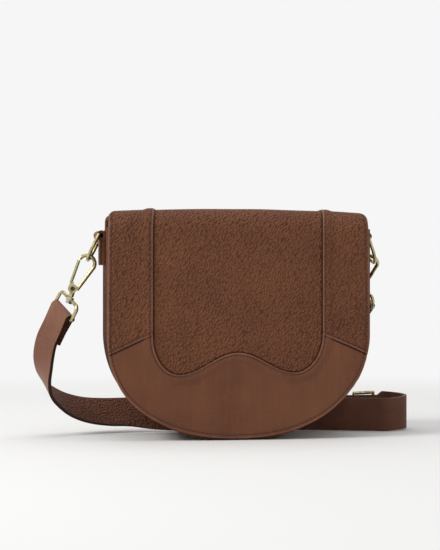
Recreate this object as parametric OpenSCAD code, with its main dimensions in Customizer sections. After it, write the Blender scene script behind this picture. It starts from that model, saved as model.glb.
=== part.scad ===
// Saddle-shaped crossbody handbag in leather, with a full front flap and a strap that clips on.
// Origin: middle of the flat foot. +Z up, the flap faces -Y, +X is to the viewer's right.

/* [Bag body] */
// Width of the body across its two sides
bag_w = 230; // [200:1:260]
// Depth of the body from front panel to back panel
bag_d = 72; // [60:1:84]
// Height of the mouth above the floor
mouth_h = 183; // [178:1:185]
// Height at which the straight sides turn into the round belly
belly_h = 91; // [80:1:105]
// How much of the round belly the flat foot takes off
foot_cut = 2.5; // [1.5:0.5:5]
// Thickness of the leather in the body
leather_t = 2; // [1.6:0.1:2.4]
// Thickness of the lining cloth
lining_t = 0.9; // [0.6:0.1:1.2]
// Radius of the piping cord along the seams
piping_r = 1.4; // [1.2:0.1:1.7]
// Width of the slip pocket inside
pocket_w = 130; // [100:1:150]
// Height of the slip pocket inside
pocket_h = 92; // [70:1:100]

/* [Flap] */
// Height of the flap's top edge in the middle
crown_h = 200.4; // [199:0.1:206]
// How much lower the top edge is at its two ends
crown_drop = 5; // [3:0.5:5.5]
// How far the flap stays inside the body's outline
flap_inset = 2.5; // [1:0.5:4]
// How much narrower each side of the flap is at the top
flap_taper = 2; // [0:0.5:4]
// Space between front panel and flap, which the snap fills
flap_gap = 4.2; // [3.8:0.1:6]
// Inside radius of the fold over the front edge
fold_front_r = 18; // [12:1:20]
// Inside radius of the fold over the back edge
fold_back_r = 11; // [8:1:11]
// Height of the sewn line where the flap starts on the back
hinge_h = 175; // [168:1:177]
// Distance of the two upright seams from the middle
seam_x = 74; // [60:1:85]
// Height of the waved seam at the middle of the flap
wave_top_h = 75.4; // [68:0.2:84]
// Height of the waved seam at its two low points
wave_low_h = 58; // [50:0.5:64]
// Distance of the low points from the middle
wave_low_x = 50; // [42:1:56]
// Width of the overlap where one flap panel lies on the next
lap_w = 5; // [3:0.5:7]

/* [Magnetic snap] */
// Height of the snap above the floor
snap_h = 50; // [40:1:65]
// Radius of the snap's two discs
snap_r = 9; // [7:0.5:10]
// Radius of the recess that takes the snap's stud
snap_recess_r = 4; // [3.6:0.1:5]

/* [Tabs and rings] */
// Height of the ring's axis in the leather tabs
tab_h = 177.3; // [170:0.1:180]
// Width of the leather tabs
tab_w = 17; // [15:0.5:18]
// Wire radius of the rings
ring_wire_r = 1.5; // [1.3:0.1:1.6]
// Half width of the rings, to the middle of the wire
ring_half_w = 12; // [11.5:0.1:14]
// Length of the rings, to the middle of the wire
ring_len = 24; // [23:0.5:28]

/* [Snap hooks] */
// Wire radius of the hooks
hook_wire_r = 1.7; // [1.5:0.1:1.8]
// Radius of the hook's bow, to the middle of the wire
bow_r = 7.2; // [7:0.1:8]
// Height of the bow's centre above the swivel
bow_h = 33.3; // [32:0.1:36]
// Radius of the eye that holds the gate
eye_r = 4; // [3.6:0.1:4.4]
// Radius of the rivet that the gate turns on
rivet_r = 1.2; // [1:0.05:1.4]

/* [Strap] */
// Width of the strap
strap_w = 30; // [26:1:32]
// Thickness of the strap
strap_t = 3; // [2.4:0.1:3.2]
// Wire radius of the strap loops and the buckle
loop_wire_r = 1.6; // [1.4:0.1:1.8]
// Height of the strap loops between their bars
loop_h = 14; // [13:0.5:18]
// Space between the bag's back and the strap that lies behind it
strap_gap = 8; // [6:0.5:14]
// Width of the strap's two ends, which meet in the buckle
strap_end_w = 22; // [18:0.5:24]
// Length of the buckle, between the middles of its bars
buckle_len = 21; // [19:0.5:24]

/* [Hidden] */

$fn = 48;
// Overrun of every cut
over = 1;
// Gap between pieces that lie on each other but move, and running gap of the pins
gap = 0.3;
run_gap = 0.08;
// Number of straight pieces in the round belly
belly_steps = 56;

half_w = bag_w / 2;
half_d = bag_d / 2;
belly_b = belly_h + foot_cut;

// Places and sizes of the flap
flap_front_y = -half_d - flap_gap;
flap_back_y = half_d + gap;
flap_base_t = 1.5;
flap_skin_t = 1.6;
centre_skin_t = 1.2;
flap_t = flap_base_t + flap_skin_t;
flap_bulge_t = flap_base_t + centre_skin_t + flap_skin_t;
flap_corner_r = 6;
flap_half_w = half_w - flap_inset;
strip_h = 24;
crown_r = (flap_half_w * flap_half_w + crown_drop * crown_drop) / (2 * crown_drop);
hinge_y = flap_back_y + (flap_t + flap_bulge_t) / 2;

// The panels stop inside the piping, and the back one below the fold of the flap
panel_inset = 2 * piping_r;
panel_low = panel_inset + 2 * gap;
back_panel_h = min(mouth_h, crown_h - crown_drop - flap_t - fold_back_r);
pocket_low = (mouth_h - pocket_h) * 3 / 5;

// Seams of the flap
seam_corner_h = belly_h;
diagonal_low_h = seam_corner_h - (flap_half_w - seam_x) * 0.45;
wave_steps = 20;

// Snap
snap_disc_t = 1.5;
snap_stud_r = 2;
snap_stud_len = 1.5;

// Tabs and rings
tab_leather_t = 2.9;
tab_bore_r = ring_wire_r + run_gap;
tab_curl_r = tab_bore_r + tab_leather_t;
tab_x = half_w + tab_curl_r;
tab_foot_t = 5.4;
tab_foot_h = 26;
ring_yaw_left = 8;
ring_swing_left = 26.2;
ring_swing_right = 19;
// The right ring carries its hook at the side, this many degrees round from its lowest point
hook_seat_right = 45;

// Hook, in its own plane: X across, Z from the swivel up to the bow
bow_x = 3.25;
eye_x = -1;
eye_h = 8.5;
hook_t = 5.2;
cheek_t = 1.5;
gate_t = hook_t - 2 * cheek_t - 2 * run_gap;
gate_eye_r = 2.3;
gate_top_x = bow_x - bow_r;
gate_tip_h = bow_h + 2 * gap;
nose_angle = 168;
neck_r = 2.3;
neck_low_h = 1.1;
seat_h = bow_h + bow_r - hook_wire_r - gap - ring_wire_r;
// Room between each ring and its hook's bow, which lets the hook turn on its post
seat_room_left = 2 * gap;
seat_room_right = 3 * gap;
hook_lean_left = 19.6;
hook_lean_right = 6;
hook_yaw_right = -34;
rivet_head_r = 1.9;
rivet_head_t = 0.5;

// Swivel post and strap loop, in the hook's frame
post_r = 1.4;
post_sink = 2.6;
post_head_r = 2.9;
post_head_t = 2.2;
loop_top_h = -1;
loop_boss_r = 3.4;
loop_half_w = strap_w / 2 + loop_wire_r + gap;
loop_corner_r = 5;
loop_low_corner_r = 2.6;
loop_turn_left = 57;
loop_turn_right = -70;
loop_tilt_left = 15;
loop_tilt_right = 0;
fold_r = loop_wire_r + gap + strap_t / 2;

// The strap stands on its edge on the floor
floor_gap = 0.3;
strap_mid_h = strap_w / 2 + floor_gap;
// The strap's two ends and their buckle lie a little higher than the run along the floor
turn_climb = 4;
buckle_mid_h = strap_mid_h + turn_climb;
buckle_h = strap_end_w + 4 * loop_wire_r + 4 * gap;
run_y = half_d + strap_gap;

// Outline of the body seen from the front, drawn in by inset, up to the height top
function belly_point(inset, angle) =
    [(half_w - inset) * cos(angle), belly_h - (belly_b - inset) * sin(angle)];
function bag_outline(inset, top) = concat(
    [[half_w - inset, top]],
    [for (i = [0 : belly_steps]) belly_point(inset, 180 * i / belly_steps)],
    [[-half_w + inset, top]]
);

module bag_shape(inset, top, low) {
    intersection() {
        polygon(bag_outline(inset, top));
        translate([-half_w, low]) square([bag_w, top]);
    }
}

// Stands a shape drawn in X and Z upright, from y0 to y1
module upright(y0, y1) {
    translate([0, y1, 0]) rotate([90, 0, 0]) linear_extrude(y1 - y0) children();
}

// Sweeps a closed section along stations of the form [centre, width direction].
// The section is in [across the width, through the thickness].
function unit(v) = v / norm(v);
function cut_dir(v, along) = unit(v - along * (v * along));
function travel(s, i) = unit(s[min(i + 1, len(s) - 1)][0] - s[max(i - 1, 0)][0]);
function ring_points(s, i, section) =
    let (along = travel(s, i), wide = cut_dir(s[i][1], along), thick = cross(along, wide))
    [for (p = section) s[i][0] + wide * p[0] + thick * p[1]];

module sweep(s, section) {
    m = len(section);
    n = len(s);
    points = [for (i = [0 : n - 1]) each ring_points(s, i, section)];
    first = [[for (j = [0 : m - 1]) j]];
    last = [[for (j = [0 : m - 1]) n * m - 1 - j]];
    sides = [for (i = [0 : n - 2]) for (j = [0 : m - 1])
        let (a = i * m + j, b = i * m + (j + 1) % m)
        each [[a, a + m, b + m], [a, b + m, b]]];
    polyhedron(points, concat(first, last, sides), convexity = 10);
}

// Smooth curve through the stations, with steps pieces between each pair
function blend(a, b, c, d, t) =
    (2 * b + (c - a) * t + (2 * a - 5 * b + 4 * c - d) * t * t
        + (3 * b - a - 3 * c + d) * t * t * t) / 2;
function smooth(s, steps) = let (n = len(s)) concat(
    [for (i = [0 : n - 2]) for (k = [0 : steps - 1]) [for (q = [0 : 1])
        blend(s[max(i - 1, 0)][q], s[i][q], s[i + 1][q], s[min(i + 2, n - 1)][q], k / steps)]],
    [s[n - 1]]
);

function strap_section() =
    let (a = strap_w / 2, b = strap_t / 2, c = strap_t / 5)
    [[a, b - c], [a - c, b], [c - a, b], [-a, b - c], [-a, c - b], [c - a, -b], [a - c, -b], [a, c - b]];
function round_section(r, sides) = [for (j = [0 : sides - 1])
    [r * cos(360 * j / sides), r * sin(360 * j / sides)]];

// The leather body
module front_panel() {
    color("saddlebrown")
    upright(-half_d, -half_d + leather_t) bag_shape(panel_inset, mouth_h, panel_low);
}

module back_panel() {
    color("saddlebrown")
    upright(half_d - leather_t, half_d) bag_shape(panel_inset, back_panel_h, panel_low);
}

module gusset() {
    color("sienna")
    upright(-half_d + piping_r, half_d - piping_r) difference() {
        bag_shape(0, mouth_h, 0);
        bag_shape(leather_t + gap, mouth_h + over, leather_t);
    }
}

module lining() {
    wall = leather_t + 2 * gap;
    inner_y = half_d - leather_t - gap;
    color("tan") difference() {
        upright(-inner_y, inner_y) bag_shape(wall, mouth_h - gap, leather_t + gap);
        upright(-inner_y + lining_t, inner_y - lining_t)
            bag_shape(wall + lining_t, mouth_h + over, leather_t + gap + lining_t);
    }
}

module slip_pocket() {
    wall_y = half_d - leather_t - gap - lining_t;
    depth = 3 * lining_t;
    color("peru") difference() {
        translate([-pocket_w / 2, wall_y - depth, pocket_low]) cube([pocket_w, depth, pocket_h]);
        translate([-pocket_w / 2 + 2 * lining_t, wall_y - depth + lining_t, pocket_low + 2 * lining_t])
            cube([pocket_w - 4 * lining_t, lining_t, pocket_h]);
    }
}

module facing(side) {
    wall_y = half_d - leather_t - gap - lining_t;
    wide = bag_w - 2 * (leather_t + 3 * gap + lining_t);
    y0 = side < 0 ? -wall_y : wall_y - lining_t;
    translate([-wide / 2, y0, mouth_h - gap - strip_h]) cube([wide, lining_t, strip_h]);
}

module front_facing() {
    color("sienna") facing(-1);
}

module back_facing() {
    color("sienna") difference() {
        facing(1);
        slip_pocket_room();
    }
}

module slip_pocket_room() {
    wide = pocket_w + 2 * gap;
    translate([-wide / 2, 0, 0]) cube([wide, half_d, pocket_low + pocket_h + gap]);
}

// Piping cord along the outline, from one end of the mouth to the other
module piping(y) {
    inset = piping_r - gap / 2;
    low = piping_r + gap;
    outline = bag_outline(inset, mouth_h);
    route = [for (p = outline) [[p[0], y, max(p[1], low)], [0, 1, 0]]];
    sweep(route, round_section(piping_r, 10));
}

module front_piping() {
    color("rosybrown") piping(-half_d);
}

module back_piping() {
    color("rosybrown") piping(half_d);
}

// Section of the flap, from the seam at the back over the top and down the front.
// out is the distance outside the flap's inner face.
function flap_line(out) = concat(
    [[hinge_h - 2 * crown_drop, flap_back_y + out]],
    [for (a = [0 : 10 : 90]) [
        crown_h - flap_t - fold_back_r + (fold_back_r + out) * sin(a),
        flap_back_y - fold_back_r + (fold_back_r + out) * cos(a)]],
    [for (a = [90 : 10 : 180]) [
        crown_h - flap_t - fold_front_r + (fold_front_r + out) * sin(a),
        flap_front_y + fold_front_r + (fold_front_r + out) * cos(a)]],
    [[0, flap_front_y - out]]
);
function reversed(list) = [for (i = [len(list) - 1 : -1 : 0]) list[i]];

// One layer of the flap, between two distances from its inner face, crowned across the width
module flap_layer(out0, out1) {
    centre_z = crown_h - crown_r;
    span = 2 * asin(half_w / (crown_r - mouth_h / 4));
    translate([0, 0, centre_z]) rotate([0, -90, -90]) rotate([0, 0, -span / 2])
        rotate_extrude(angle = span, $fn = 720)
            translate([-centre_z, 0])
                polygon(concat(flap_line(out0), reversed(flap_line(out1))));
}

// Outline of the whole flap seen from the front
module flap_shape() {
    a = half_w - flap_inset;
    top_x = a - flap_taper;
    edge_h = crown_h - crown_drop;
    arc = [for (i = [0 : belly_steps]) belly_point(flap_inset, 180 * i / belly_steps)];
    corner = [for (q = [0 : 15 : 90]) [
        top_x - flap_corner_r * (1 - cos(q)), edge_h - flap_corner_r * (1 - sin(q))]];
    roof = [[top_x - 2 * flap_corner_r, crown_h + flap_bulge_t]];
    right = concat(reversed(roof), reversed(corner));
    left = [for (p = reversed(right)) [-p[0], p[1]]];
    intersection() {
        polygon(concat(right, arc, left));
        translate([-half_w, flap_inset]) square([bag_w, crown_h + flap_bulge_t]);
    }
}

// The centre panel's outline, let out by grow: straight sides and a waved lower edge
function wave_h(x) = (wave_top_h + wave_low_h) / 2
    + (wave_top_h - wave_low_h) / 2 * cos(180 * x / wave_low_x);
function wave_right(grow) = concat(
    [for (i = [0 : wave_steps]) [wave_low_x * i / wave_steps,
        wave_h(wave_low_x * i / wave_steps) - grow]],
    [for (q = [10 : 10 : 90]) [
        wave_low_x + (seam_x - wave_low_x + grow) * sin(q),
        seam_corner_h - (seam_corner_h - wave_low_h + grow) * cos(q)]]
);
module centre_shape(grow) {
    side = wave_right(grow);
    top = crown_h + flap_bulge_t;
    polygon(concat(side, [[seam_x + grow, top], [-seam_x - grow, top]],
        [for (p = reversed(side)) if (p[0] > 0) [-p[0], p[1]]]));
}

// Everything above the two diagonal seams
module above_diagonals() {
    top = crown_h + flap_bulge_t;
    slope = (seam_corner_h - diagonal_low_h) / (flap_half_w - seam_x);
    edge_h = seam_corner_h - slope * (half_w - seam_x);
    polygon([[half_w, edge_h], [half_w, top], [-half_w, top], [-half_w, edge_h],
        [0, seam_corner_h + slope * seam_x]]);
}

// Cuts a layer to an outline seen from the front, and off at the line that the flap turns about
module cut_out() {
    difference() {
        intersection() {
            children(0);
            upright(-bag_d, bag_d) children(1);
        }
        translate([-bag_w, 0, 0]) cube([2 * bag_w, bag_d, hinge_h]);
    }
}

module flap_base() {
    color("peru") cut_out() {
        flap_layer(0, flap_base_t);
        flap_shape();
    }
}

module flap_centre_panel() {
    color("saddlebrown") cut_out() {
        flap_layer(flap_base_t, flap_base_t + centre_skin_t);
        intersection() {
            flap_shape();
            centre_shape(lap_w);
        }
    }
}

// Leather that lies on the flap's base, and with its edge on the centre panel
module lapped_layer() {
    difference() {
        flap_layer(flap_base_t, flap_t);
        upright(-bag_d, bag_d) centre_shape(lap_w);
    }
    intersection() {
        flap_layer(flap_base_t + centre_skin_t, flap_bulge_t);
        upright(-bag_d, bag_d) centre_shape(lap_w + over);
    }
}

module flap_side() {
    color("sienna") cut_out() {
        lapped_layer();
        difference() {
            intersection() {
                flap_shape();
                above_diagonals();
                square([half_w, 2 * crown_h]);
            }
            centre_shape(0);
        }
    }
}

module flap_side_right() {
    flap_side();
}

module flap_side_left() {
    mirror([1, 0, 0]) flap_side();
}

module flap_lower_panel() {
    color("sienna") cut_out() {
        lapped_layer();
        difference() {
            flap_shape();
            above_diagonals();
            centre_shape(0);
        }
    }
}

// Strip sewn to the back panel, which the flap grows out of
module flap_seam_strip() {
    wide = 2 * (flap_half_w - flap_taper - flap_corner_r);
    color("sienna")
    translate([-wide / 2, half_d, hinge_h - gap - strip_h]) cube([wide, flap_t, strip_h]);
}

// Magnetic snap: a disc with a recess on the body, a disc with a stud on the flap
module disc(r, y0, y1) {
    translate([0, y1, snap_h]) rotate([90, 0, 0]) cylinder(r = r, h = y1 - y0);
}

module snap_socket() {
    face_y = flap_front_y + snap_disc_t + gap;
    color("darkgoldenrod") difference() {
        disc(snap_r, face_y, -half_d);
        disc(snap_recess_r, face_y - over, -half_d - leather_t / 4);
    }
}

module snap_plug() {
    face_y = flap_front_y + snap_disc_t;
    color("darkgoldenrod") {
        disc(snap_r, flap_front_y, face_y);
        disc(snap_stud_r, flap_front_y, face_y + snap_stud_len);
    }
}

// Leather tab: a strip sewn to the gusset and curled round the ring's bar
module tab(yaw) {
    low = tab_h - tab_foot_h;
    side = tab_w / 2;
    // The doubled foot has slanted edges, which leave the hook its room
    slant = tab_foot_t / 3;
    color("saddlebrown") difference() {
        union() {
            translate([half_w, 0, low]) linear_extrude(tab_foot_h - tab_bore_r)
                polygon([[0, -side], [tab_foot_t - slant, -side], [tab_foot_t, slant - side],
                    [tab_foot_t, side - slant], [tab_foot_t - slant, side], [0, side]]);
            translate([half_w, -tab_w / 2, low]) cube([tab_leather_t, tab_w, tab_foot_h]);
            translate([tab_x, 0, tab_h]) rotate([90, 0, -yaw])
                cylinder(r = tab_curl_r, h = tab_w, center = true);
        }
        translate([tab_x, 0, tab_h]) rotate([90, 0, -yaw])
            cylinder(r = tab_bore_r, h = 2 * tab_w, center = true);
        tab_mouth(yaw);
        translate([0, -tab_w, 0]) cube([half_w, 2 * tab_w, crown_h]);
    }
}

// The curl stays open towards the ring where its leather ends
module tab_mouth(yaw) {
    wide = tab_leather_t;
    translate([tab_x, 0, tab_h]) rotate([0, 0, -yaw]) rotate([0, -hook_seat_right, 0])
        translate([0, -tab_w, -wide / 4]) cube([2 * tab_curl_r, 2 * tab_w, wide / 2]);
}

module tab_left() {
    mirror([1, 0, 0]) tab(-ring_yaw_left);
}

module tab_right() {
    tab(0);
}

// A wire bent in a half circle or less, in the XZ plane, from angle a0 to a1
module wire_arc(r, wire_r, a0, a1) {
    rotate([90, 0, 0]) rotate([0, 0, a0])
        rotate_extrude(angle = a1 - a0, $fn = 72) translate([r, 0]) circle(wire_r, $fn = 24);
}

module wire_up(x, z0, z1, wire_r) {
    translate([x, 0, z0]) cylinder(r = wire_r, h = z1 - z0, $fn = 24);
}

// D-shaped ring hanging from its bar at the origin, the bar along Y
module ring() {
    arc_h = ring_len - ring_half_w;
    color("darkgoldenrod") rotate([0, 0, 90]) {
        rotate([0, 90, 0]) cylinder(r = ring_wire_r, h = 2 * ring_half_w, center = true, $fn = 24);
        for (side = [-1, 1]) {
            translate([side * ring_half_w, 0, 0]) sphere(ring_wire_r, $fn = 24);
            wire_up(side * ring_half_w, -arc_h, 0, ring_wire_r);
        }
        translate([0, 0, -arc_h]) wire_arc(ring_half_w, ring_wire_r, 180, 360);
    }
}

module ring_left() {
    translate([-tab_x, 0, tab_h]) rotate([0, 0, -ring_yaw_left]) rotate([0, ring_swing_left, 0])
        ring();
}

module ring_right() {
    translate([tab_x, 0, tab_h]) rotate([0, -ring_swing_right, 0]) ring();
}

// Puts a hook where its bow hangs on the ring
module at_hook_left() {
    translate([-tab_x, 0, tab_h]) rotate([0, 0, -ring_yaw_left]) rotate([0, ring_swing_left, 0])
        translate([0, 0, -ring_len]) rotate([0, hook_lean_left - ring_swing_left, 0])
            rotate([0, 0, ring_yaw_left]) translate([-bow_x, 0, seat_room_left - seat_h])
                children();
}

module at_hook_right() {
    arc_h = ring_len - ring_half_w;
    translate([tab_x, 0, tab_h]) rotate([0, -ring_swing_right, 0]) translate([0, 0, -arc_h])
        rotate([hook_seat_right, 0, 0]) translate([0, 0, -ring_half_w])
            rotate([-hook_seat_right, 0, 0]) rotate([0, ring_swing_right - hook_lean_right, 0])
                rotate([hook_seat_right, 0, 0]) rotate([0, 0, hook_yaw_right])
                    translate([-bow_x, 0, seat_room_right - seat_h]) children();
}

// The hook's rail leaves the eye and runs on into the bow without a corner
rail_foot_x = 3;
rail_foot_h = eye_h;
rail_dist = norm([bow_x - rail_foot_x, bow_h - rail_foot_h]);
rail_len = sqrt(rail_dist * rail_dist - bow_r * bow_r);
rail_lean = asin(bow_r / rail_dist) + atan2(bow_x - rail_foot_x, bow_h - rail_foot_h);

module across(r, t, x, z) {
    translate([x, 0, z]) rotate([90, 0, 0]) cylinder(r = r, h = t, center = true);
}

module hook() {
    color("darkgoldenrod") difference() {
        union() {
            translate([bow_x, 0, bow_h]) rotate([0, rail_lean, 0]) {
                wire_arc(bow_r, hook_wire_r, 0, nose_angle + rail_lean);
                wire_up(bow_r, -rail_len, 0, hook_wire_r);
            }
            across(eye_r, hook_t, eye_x, eye_h);
            translate([0, 0, neck_low_h]) cylinder(r = neck_r, h = eye_h - neck_low_h);
        }
        // Slot between the two cheeks, where the gate's eye turns
        translate([eye_x - 2 * eye_r, -gate_t / 2 - run_gap, eye_h - gate_eye_r - gap])
            cube([2 * eye_r + gate_eye_r + gap, gate_t + 2 * run_gap, 3 * eye_r]);
        across(rivet_r, 2 * hook_t, eye_x, eye_h);
        translate([0, 0, neck_low_h - over]) cylinder(r = post_r, h = over + post_sink);
    }
}

// Spring gate: an eye on the rivet and a bar up to the bow's nose
module gate() {
    color("darkgoldenrod") difference() {
        union() {
            across(gate_eye_r, gate_t, eye_x, eye_h);
            translate([gate_top_x, 0, eye_h]) wire_up(0, eye_r, gate_tip_h - eye_h, hook_wire_r - gap);
            translate([gate_top_x - hook_wire_r / 2, -gate_t / 2, eye_h])
                cube([2 * hook_wire_r, gate_t, eye_r + hook_wire_r]);
        }
        across(rivet_r + run_gap, 2 * hook_t, eye_x, eye_h);
        gate_relief();
    }
}

// The gate's tip is cut back so that it stops against the bow's nose
module gate_relief() {
    translate([bow_x, 0, bow_h]) rotate([0, -nose_angle, 0])
        translate([bow_r - 2 * hook_wire_r, -hook_t, gap - 4 * hook_wire_r])
            cube([4 * hook_wire_r, 2 * hook_t, 4 * hook_wire_r]);
}

module gate_rivet() {
    color("black") {
        across(rivet_r, hook_t, eye_x, eye_h);
        for (side = [-1, 1])
            translate([0, side * (hook_t + rivet_head_t) / 2, 0])
                across(rivet_head_r, rivet_head_t, eye_x, eye_h);
    }
}

// Steel post, closed with a head below the loop's bar
module swivel_post() {
    head_top = loop_top_h - loop_wire_r - gap;
    color("gray") {
        translate([0, 0, head_top]) cylinder(r = post_r, h = neck_low_h + post_sink - head_top);
        translate([0, 0, head_top - post_head_t]) cylinder(r = post_head_r, h = post_head_t, $fn = 8);
    }
}

// Loop at the strap's end: its upper bar turns on the post, its lower bar lies in the strap's fold
module strap_loop(tilt) {
    bars = [[loop_top_h, loop_corner_r, 0], [loop_top_h - loop_h, loop_low_corner_r, 270]];
    color("darkgoldenrod") difference() {
        union() {
            rotate([0, tilt, 0]) {
                for (bar = bars) {
                    straight = loop_half_w - bar[1];
                    inwards = bar[2] > 0 ? bar[1] : -bar[1];
                    translate([0, 0, bar[0]]) rotate([0, 90, 0])
                        cylinder(r = loop_wire_r, h = 2 * straight, center = true, $fn = 24);
                    for (side = [0, 180]) rotate([0, 0, side])
                        translate([straight, 0, bar[0] + inwards])
                            wire_arc(bar[1], loop_wire_r, bar[2], bar[2] + 90);
                }
                for (side = [0, 180]) rotate([0, 0, side])
                    wire_up(loop_half_w, loop_top_h - loop_h + loop_low_corner_r,
                        loop_top_h - loop_corner_r, loop_wire_r);
            }
            translate([0, 0, loop_top_h - loop_wire_r])
                cylinder(r = loop_boss_r, h = 2 * loop_wire_r);
        }
        translate([0, 0, -loop_h / 2]) cylinder(r = post_r + run_gap, h = loop_h);
        // Flat seats on the boss, for the hook's neck above it and the post's head below it
        for (z = [loop_top_h + loop_wire_r, loop_top_h - loop_wire_r - loop_boss_r])
            translate([0, 0, z]) cylinder(r = loop_boss_r + gap, h = loop_boss_r);
    }
}

module hook_left() {
    at_hook_left() hook();
}

module hook_right() {
    at_hook_right() hook();
}

module gate_left() {
    at_hook_left() gate();
}

module gate_right() {
    at_hook_right() gate();
}

module gate_rivet_left() {
    at_hook_left() gate_rivet();
}

module gate_rivet_right() {
    at_hook_right() gate_rivet();
}

module swivel_post_left() {
    at_hook_left() swivel_post();
}

module swivel_post_right() {
    at_hook_right() swivel_post();
}

module strap_loop_left() {
    at_hook_left() rotate([0, 0, -loop_turn_left]) strap_loop(loop_tilt_left);
}

module strap_loop_right() {
    at_hook_right() rotate([0, 0, loop_turn_right - hook_yaw_right])
        strap_loop(loop_tilt_right);
}

// The same places worked out as points, for the strap that hangs from the loops
function turn_x(p, a) = [p[0], p[1] * cos(a) - p[2] * sin(a), p[1] * sin(a) + p[2] * cos(a)];
function turn_y(p, a) = [p[0] * cos(a) + p[2] * sin(a), p[1], p[2] * cos(a) - p[0] * sin(a)];
function turn_z(p, a) = [p[0] * cos(a) - p[1] * sin(a), p[0] * sin(a) + p[1] * cos(a), p[2]];
function left_dir(p) = turn_z(turn_y(turn_y(
    turn_z(turn_z(turn_y(p, loop_tilt_left), -loop_turn_left), ring_yaw_left),
    hook_lean_left - ring_swing_left), ring_swing_left), -ring_yaw_left);
function right_dir(p) = turn_y(turn_x(
    turn_z(turn_y(p, loop_tilt_right), loop_turn_right), hook_seat_right), -hook_lean_right);

left_ring_low = [-tab_x, 0, tab_h]
    + turn_z(turn_y([0, 0, -ring_len], ring_swing_left), -ring_yaw_left);
left_swivel = left_ring_low + turn_z(turn_y(
    turn_z([-bow_x, 0, seat_room_left - seat_h], ring_yaw_left), hook_lean_left), -ring_yaw_left);
left_bar = left_swivel + left_dir([0, 0, loop_top_h - loop_h]);
right_ring_seat = [tab_x, 0, tab_h] + turn_y([0, 0, ring_half_w - ring_len]
    + turn_x([0, 0, -ring_half_w], hook_seat_right), -ring_swing_right);
right_swivel = right_ring_seat + turn_y(turn_x(
    turn_z([-bow_x, 0, seat_room_right - seat_h], hook_yaw_right),
    hook_seat_right), -hook_lean_right);
right_bar = right_swivel + right_dir([0, 0, loop_top_h - loop_h]);

// The strap's end goes round a bar: wide is along the bar, down the way that the strap leaves.
// The sewn lap lies behind the strap's face for its first lap_steps stations.
lap_steps = 7;
lap_first = 3;
function fold_out(wide, down) = unit(cross(wide, cut_dir(down, wide)));
function fold_start(bar, wide, down) = [bar + fold_out(wide, down) * fold_r, wide];
function fold_arc(bar, wide, down) =
    let (out = fold_out(wide, down), on = cut_dir(down, wide))
    [for (a = [-180 : 30 : -30]) [bar + out * fold_r * cos(a) + on * fold_r * sin(a), wide]];
function behind(s, i) = [s[i][0] + (strap_t + gap)
    * cross(travel(s, i), cut_dir(s[i][1], travel(s, i))), s[i][1]];
function with_fold(s, bar, down) = concat(
    [for (i = [lap_steps : -1 : lap_first]) behind(s, i)], fold_arc(bar, s[0][1], down), s);

// Left end: from the loop down to the floor and behind the bag, as shares.
// Columns: out beyond the side by the bar's distance, back by the run's depth,
// up by the bar's height over the strap lying on its edge, then the width direction.
left_down = unit([-0.62, 0.137, -0.78]);
left_wide = -left_dir([1, 0, 0]);
left_bend_shares = [
    [1.22, 0.20, 0.87, -0.44, 0.80, 0.40],
    [1.37, 0.22, 0.74, -0.50, 0.82, 0.28],
    [1.46, 0.24, 0.61, -0.56, 0.81, 0.17],
    [1.48, 0.27, 0.49, -0.50, 0.84, 0.19],
    [1.44, 0.32, 0.37, -0.32, 0.91, 0.26],
    [1.32, 0.41, 0.27, -0.15, 0.93, 0.33],
    [1.12, 0.56, 0.19, -0.12, 0.88, 0.46],
    [0.82, 0.74, 0.11, -0.11, 0.80, 0.58],
    [0.40, 0.92, 0.05, -0.07, 0.72, 0.69],
    [-0.12, 1.06, 0.02, 0.00, 0.60, 0.80],
    [-0.80, 1.15, 0.01, 0.00, 0.42, 0.90]
];
bar_out = -left_bar[0] - half_w;
bar_up = left_bar[2] - strap_mid_h;
left_bend = [for (q = left_bend_shares) [
    [-half_w - q[0] * bar_out, q[1] * run_y, strap_mid_h + q[2] * bar_up],
    [q[3], q[4], q[5]]]];

// The run behind the bag out to the right, as shares of the half width and of the run's depth
floor_run_shares = [[-0.40, 1.16], [-0.05, 1.13], [0.30, 1.06], [0.55, 0.99], [0.78, 0.90],
    [0.98, 0.74], [1.14, 0.60]];
floor_run = [for (q = floor_run_shares)
    [[q[0] * half_w, q[1] * run_y, strap_mid_h], [0, 0, 1]]];

// The turn on the right and the straight run back through the buckle
turn_r = 24;
turn_out = 31;
run_step = 26;
turn_x0 = half_w + turn_out;
back_run_y = run_y + run_step;
turn_y0 = back_run_y - turn_r;
right_turn = [for (a = [-90 : 22.5 : 90]) [
    [turn_x0 + turn_r * cos(a), turn_y0 + turn_r * sin(a),
        strap_mid_h + turn_climb * (a + 90) / 180], [0, 0, 1]]];
buckle_out = 19;
tip_len = 46;
buckle_x = half_w + buckle_out;
tip_x = buckle_x - tip_len;
back_run = [for (x = [buckle_x, tip_x])
    [[x, back_run_y, buckle_mid_h], [0, 0, 1]]];

// What the straps lose above and below their narrow ends between x0 and x1
module beside_end(x0, x1) {
    low = strap_end_w / 2;
    high = strap_w / 2 + over;
    slant = high - low;
    for (side = [-1, 1]) upright(bar_y - fold_r - strap_t, back_run_y + strap_t)
        translate([0, buckle_mid_h]) polygon([[x0, side * low], [x1, side * low],
            [x1 + slant, side * high], [x0 - slant, side * high]]);
}

module strap_long() {
    stations = concat([fold_start(left_bar, left_wide, left_down)], left_bend, floor_run,
        right_turn, back_run);
    color("saddlebrown") difference() {
        sweep(with_fold(smooth(stations, 3), left_bar, left_down), strap_section());
        // Holes for the buckle's tongue
        for (k = [-1 : 2])
            translate([hole_x + k * hole_step, back_run_y, buckle_mid_h]) rotate([90, 0, 0])
                cylinder(r = hole_r, h = 2 * strap_t, center = true);
        beside_end(tip_x - strap_w, long_end_x);
    }
}

// Buckle: a frame whose bar lies inside the bag's side of the strap, with its far end outside
bar_y = back_run_y - strap_t - fold_r - gap;
frame_end_y = back_run_y + strap_t / 2 + loop_wire_r + gap;
bar_x = buckle_x - buckle_len / 2;
frame_turn = atan2(frame_end_y - bar_y, buckle_len);
frame_long = norm([frame_end_y - bar_y, buckle_len]);
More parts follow.
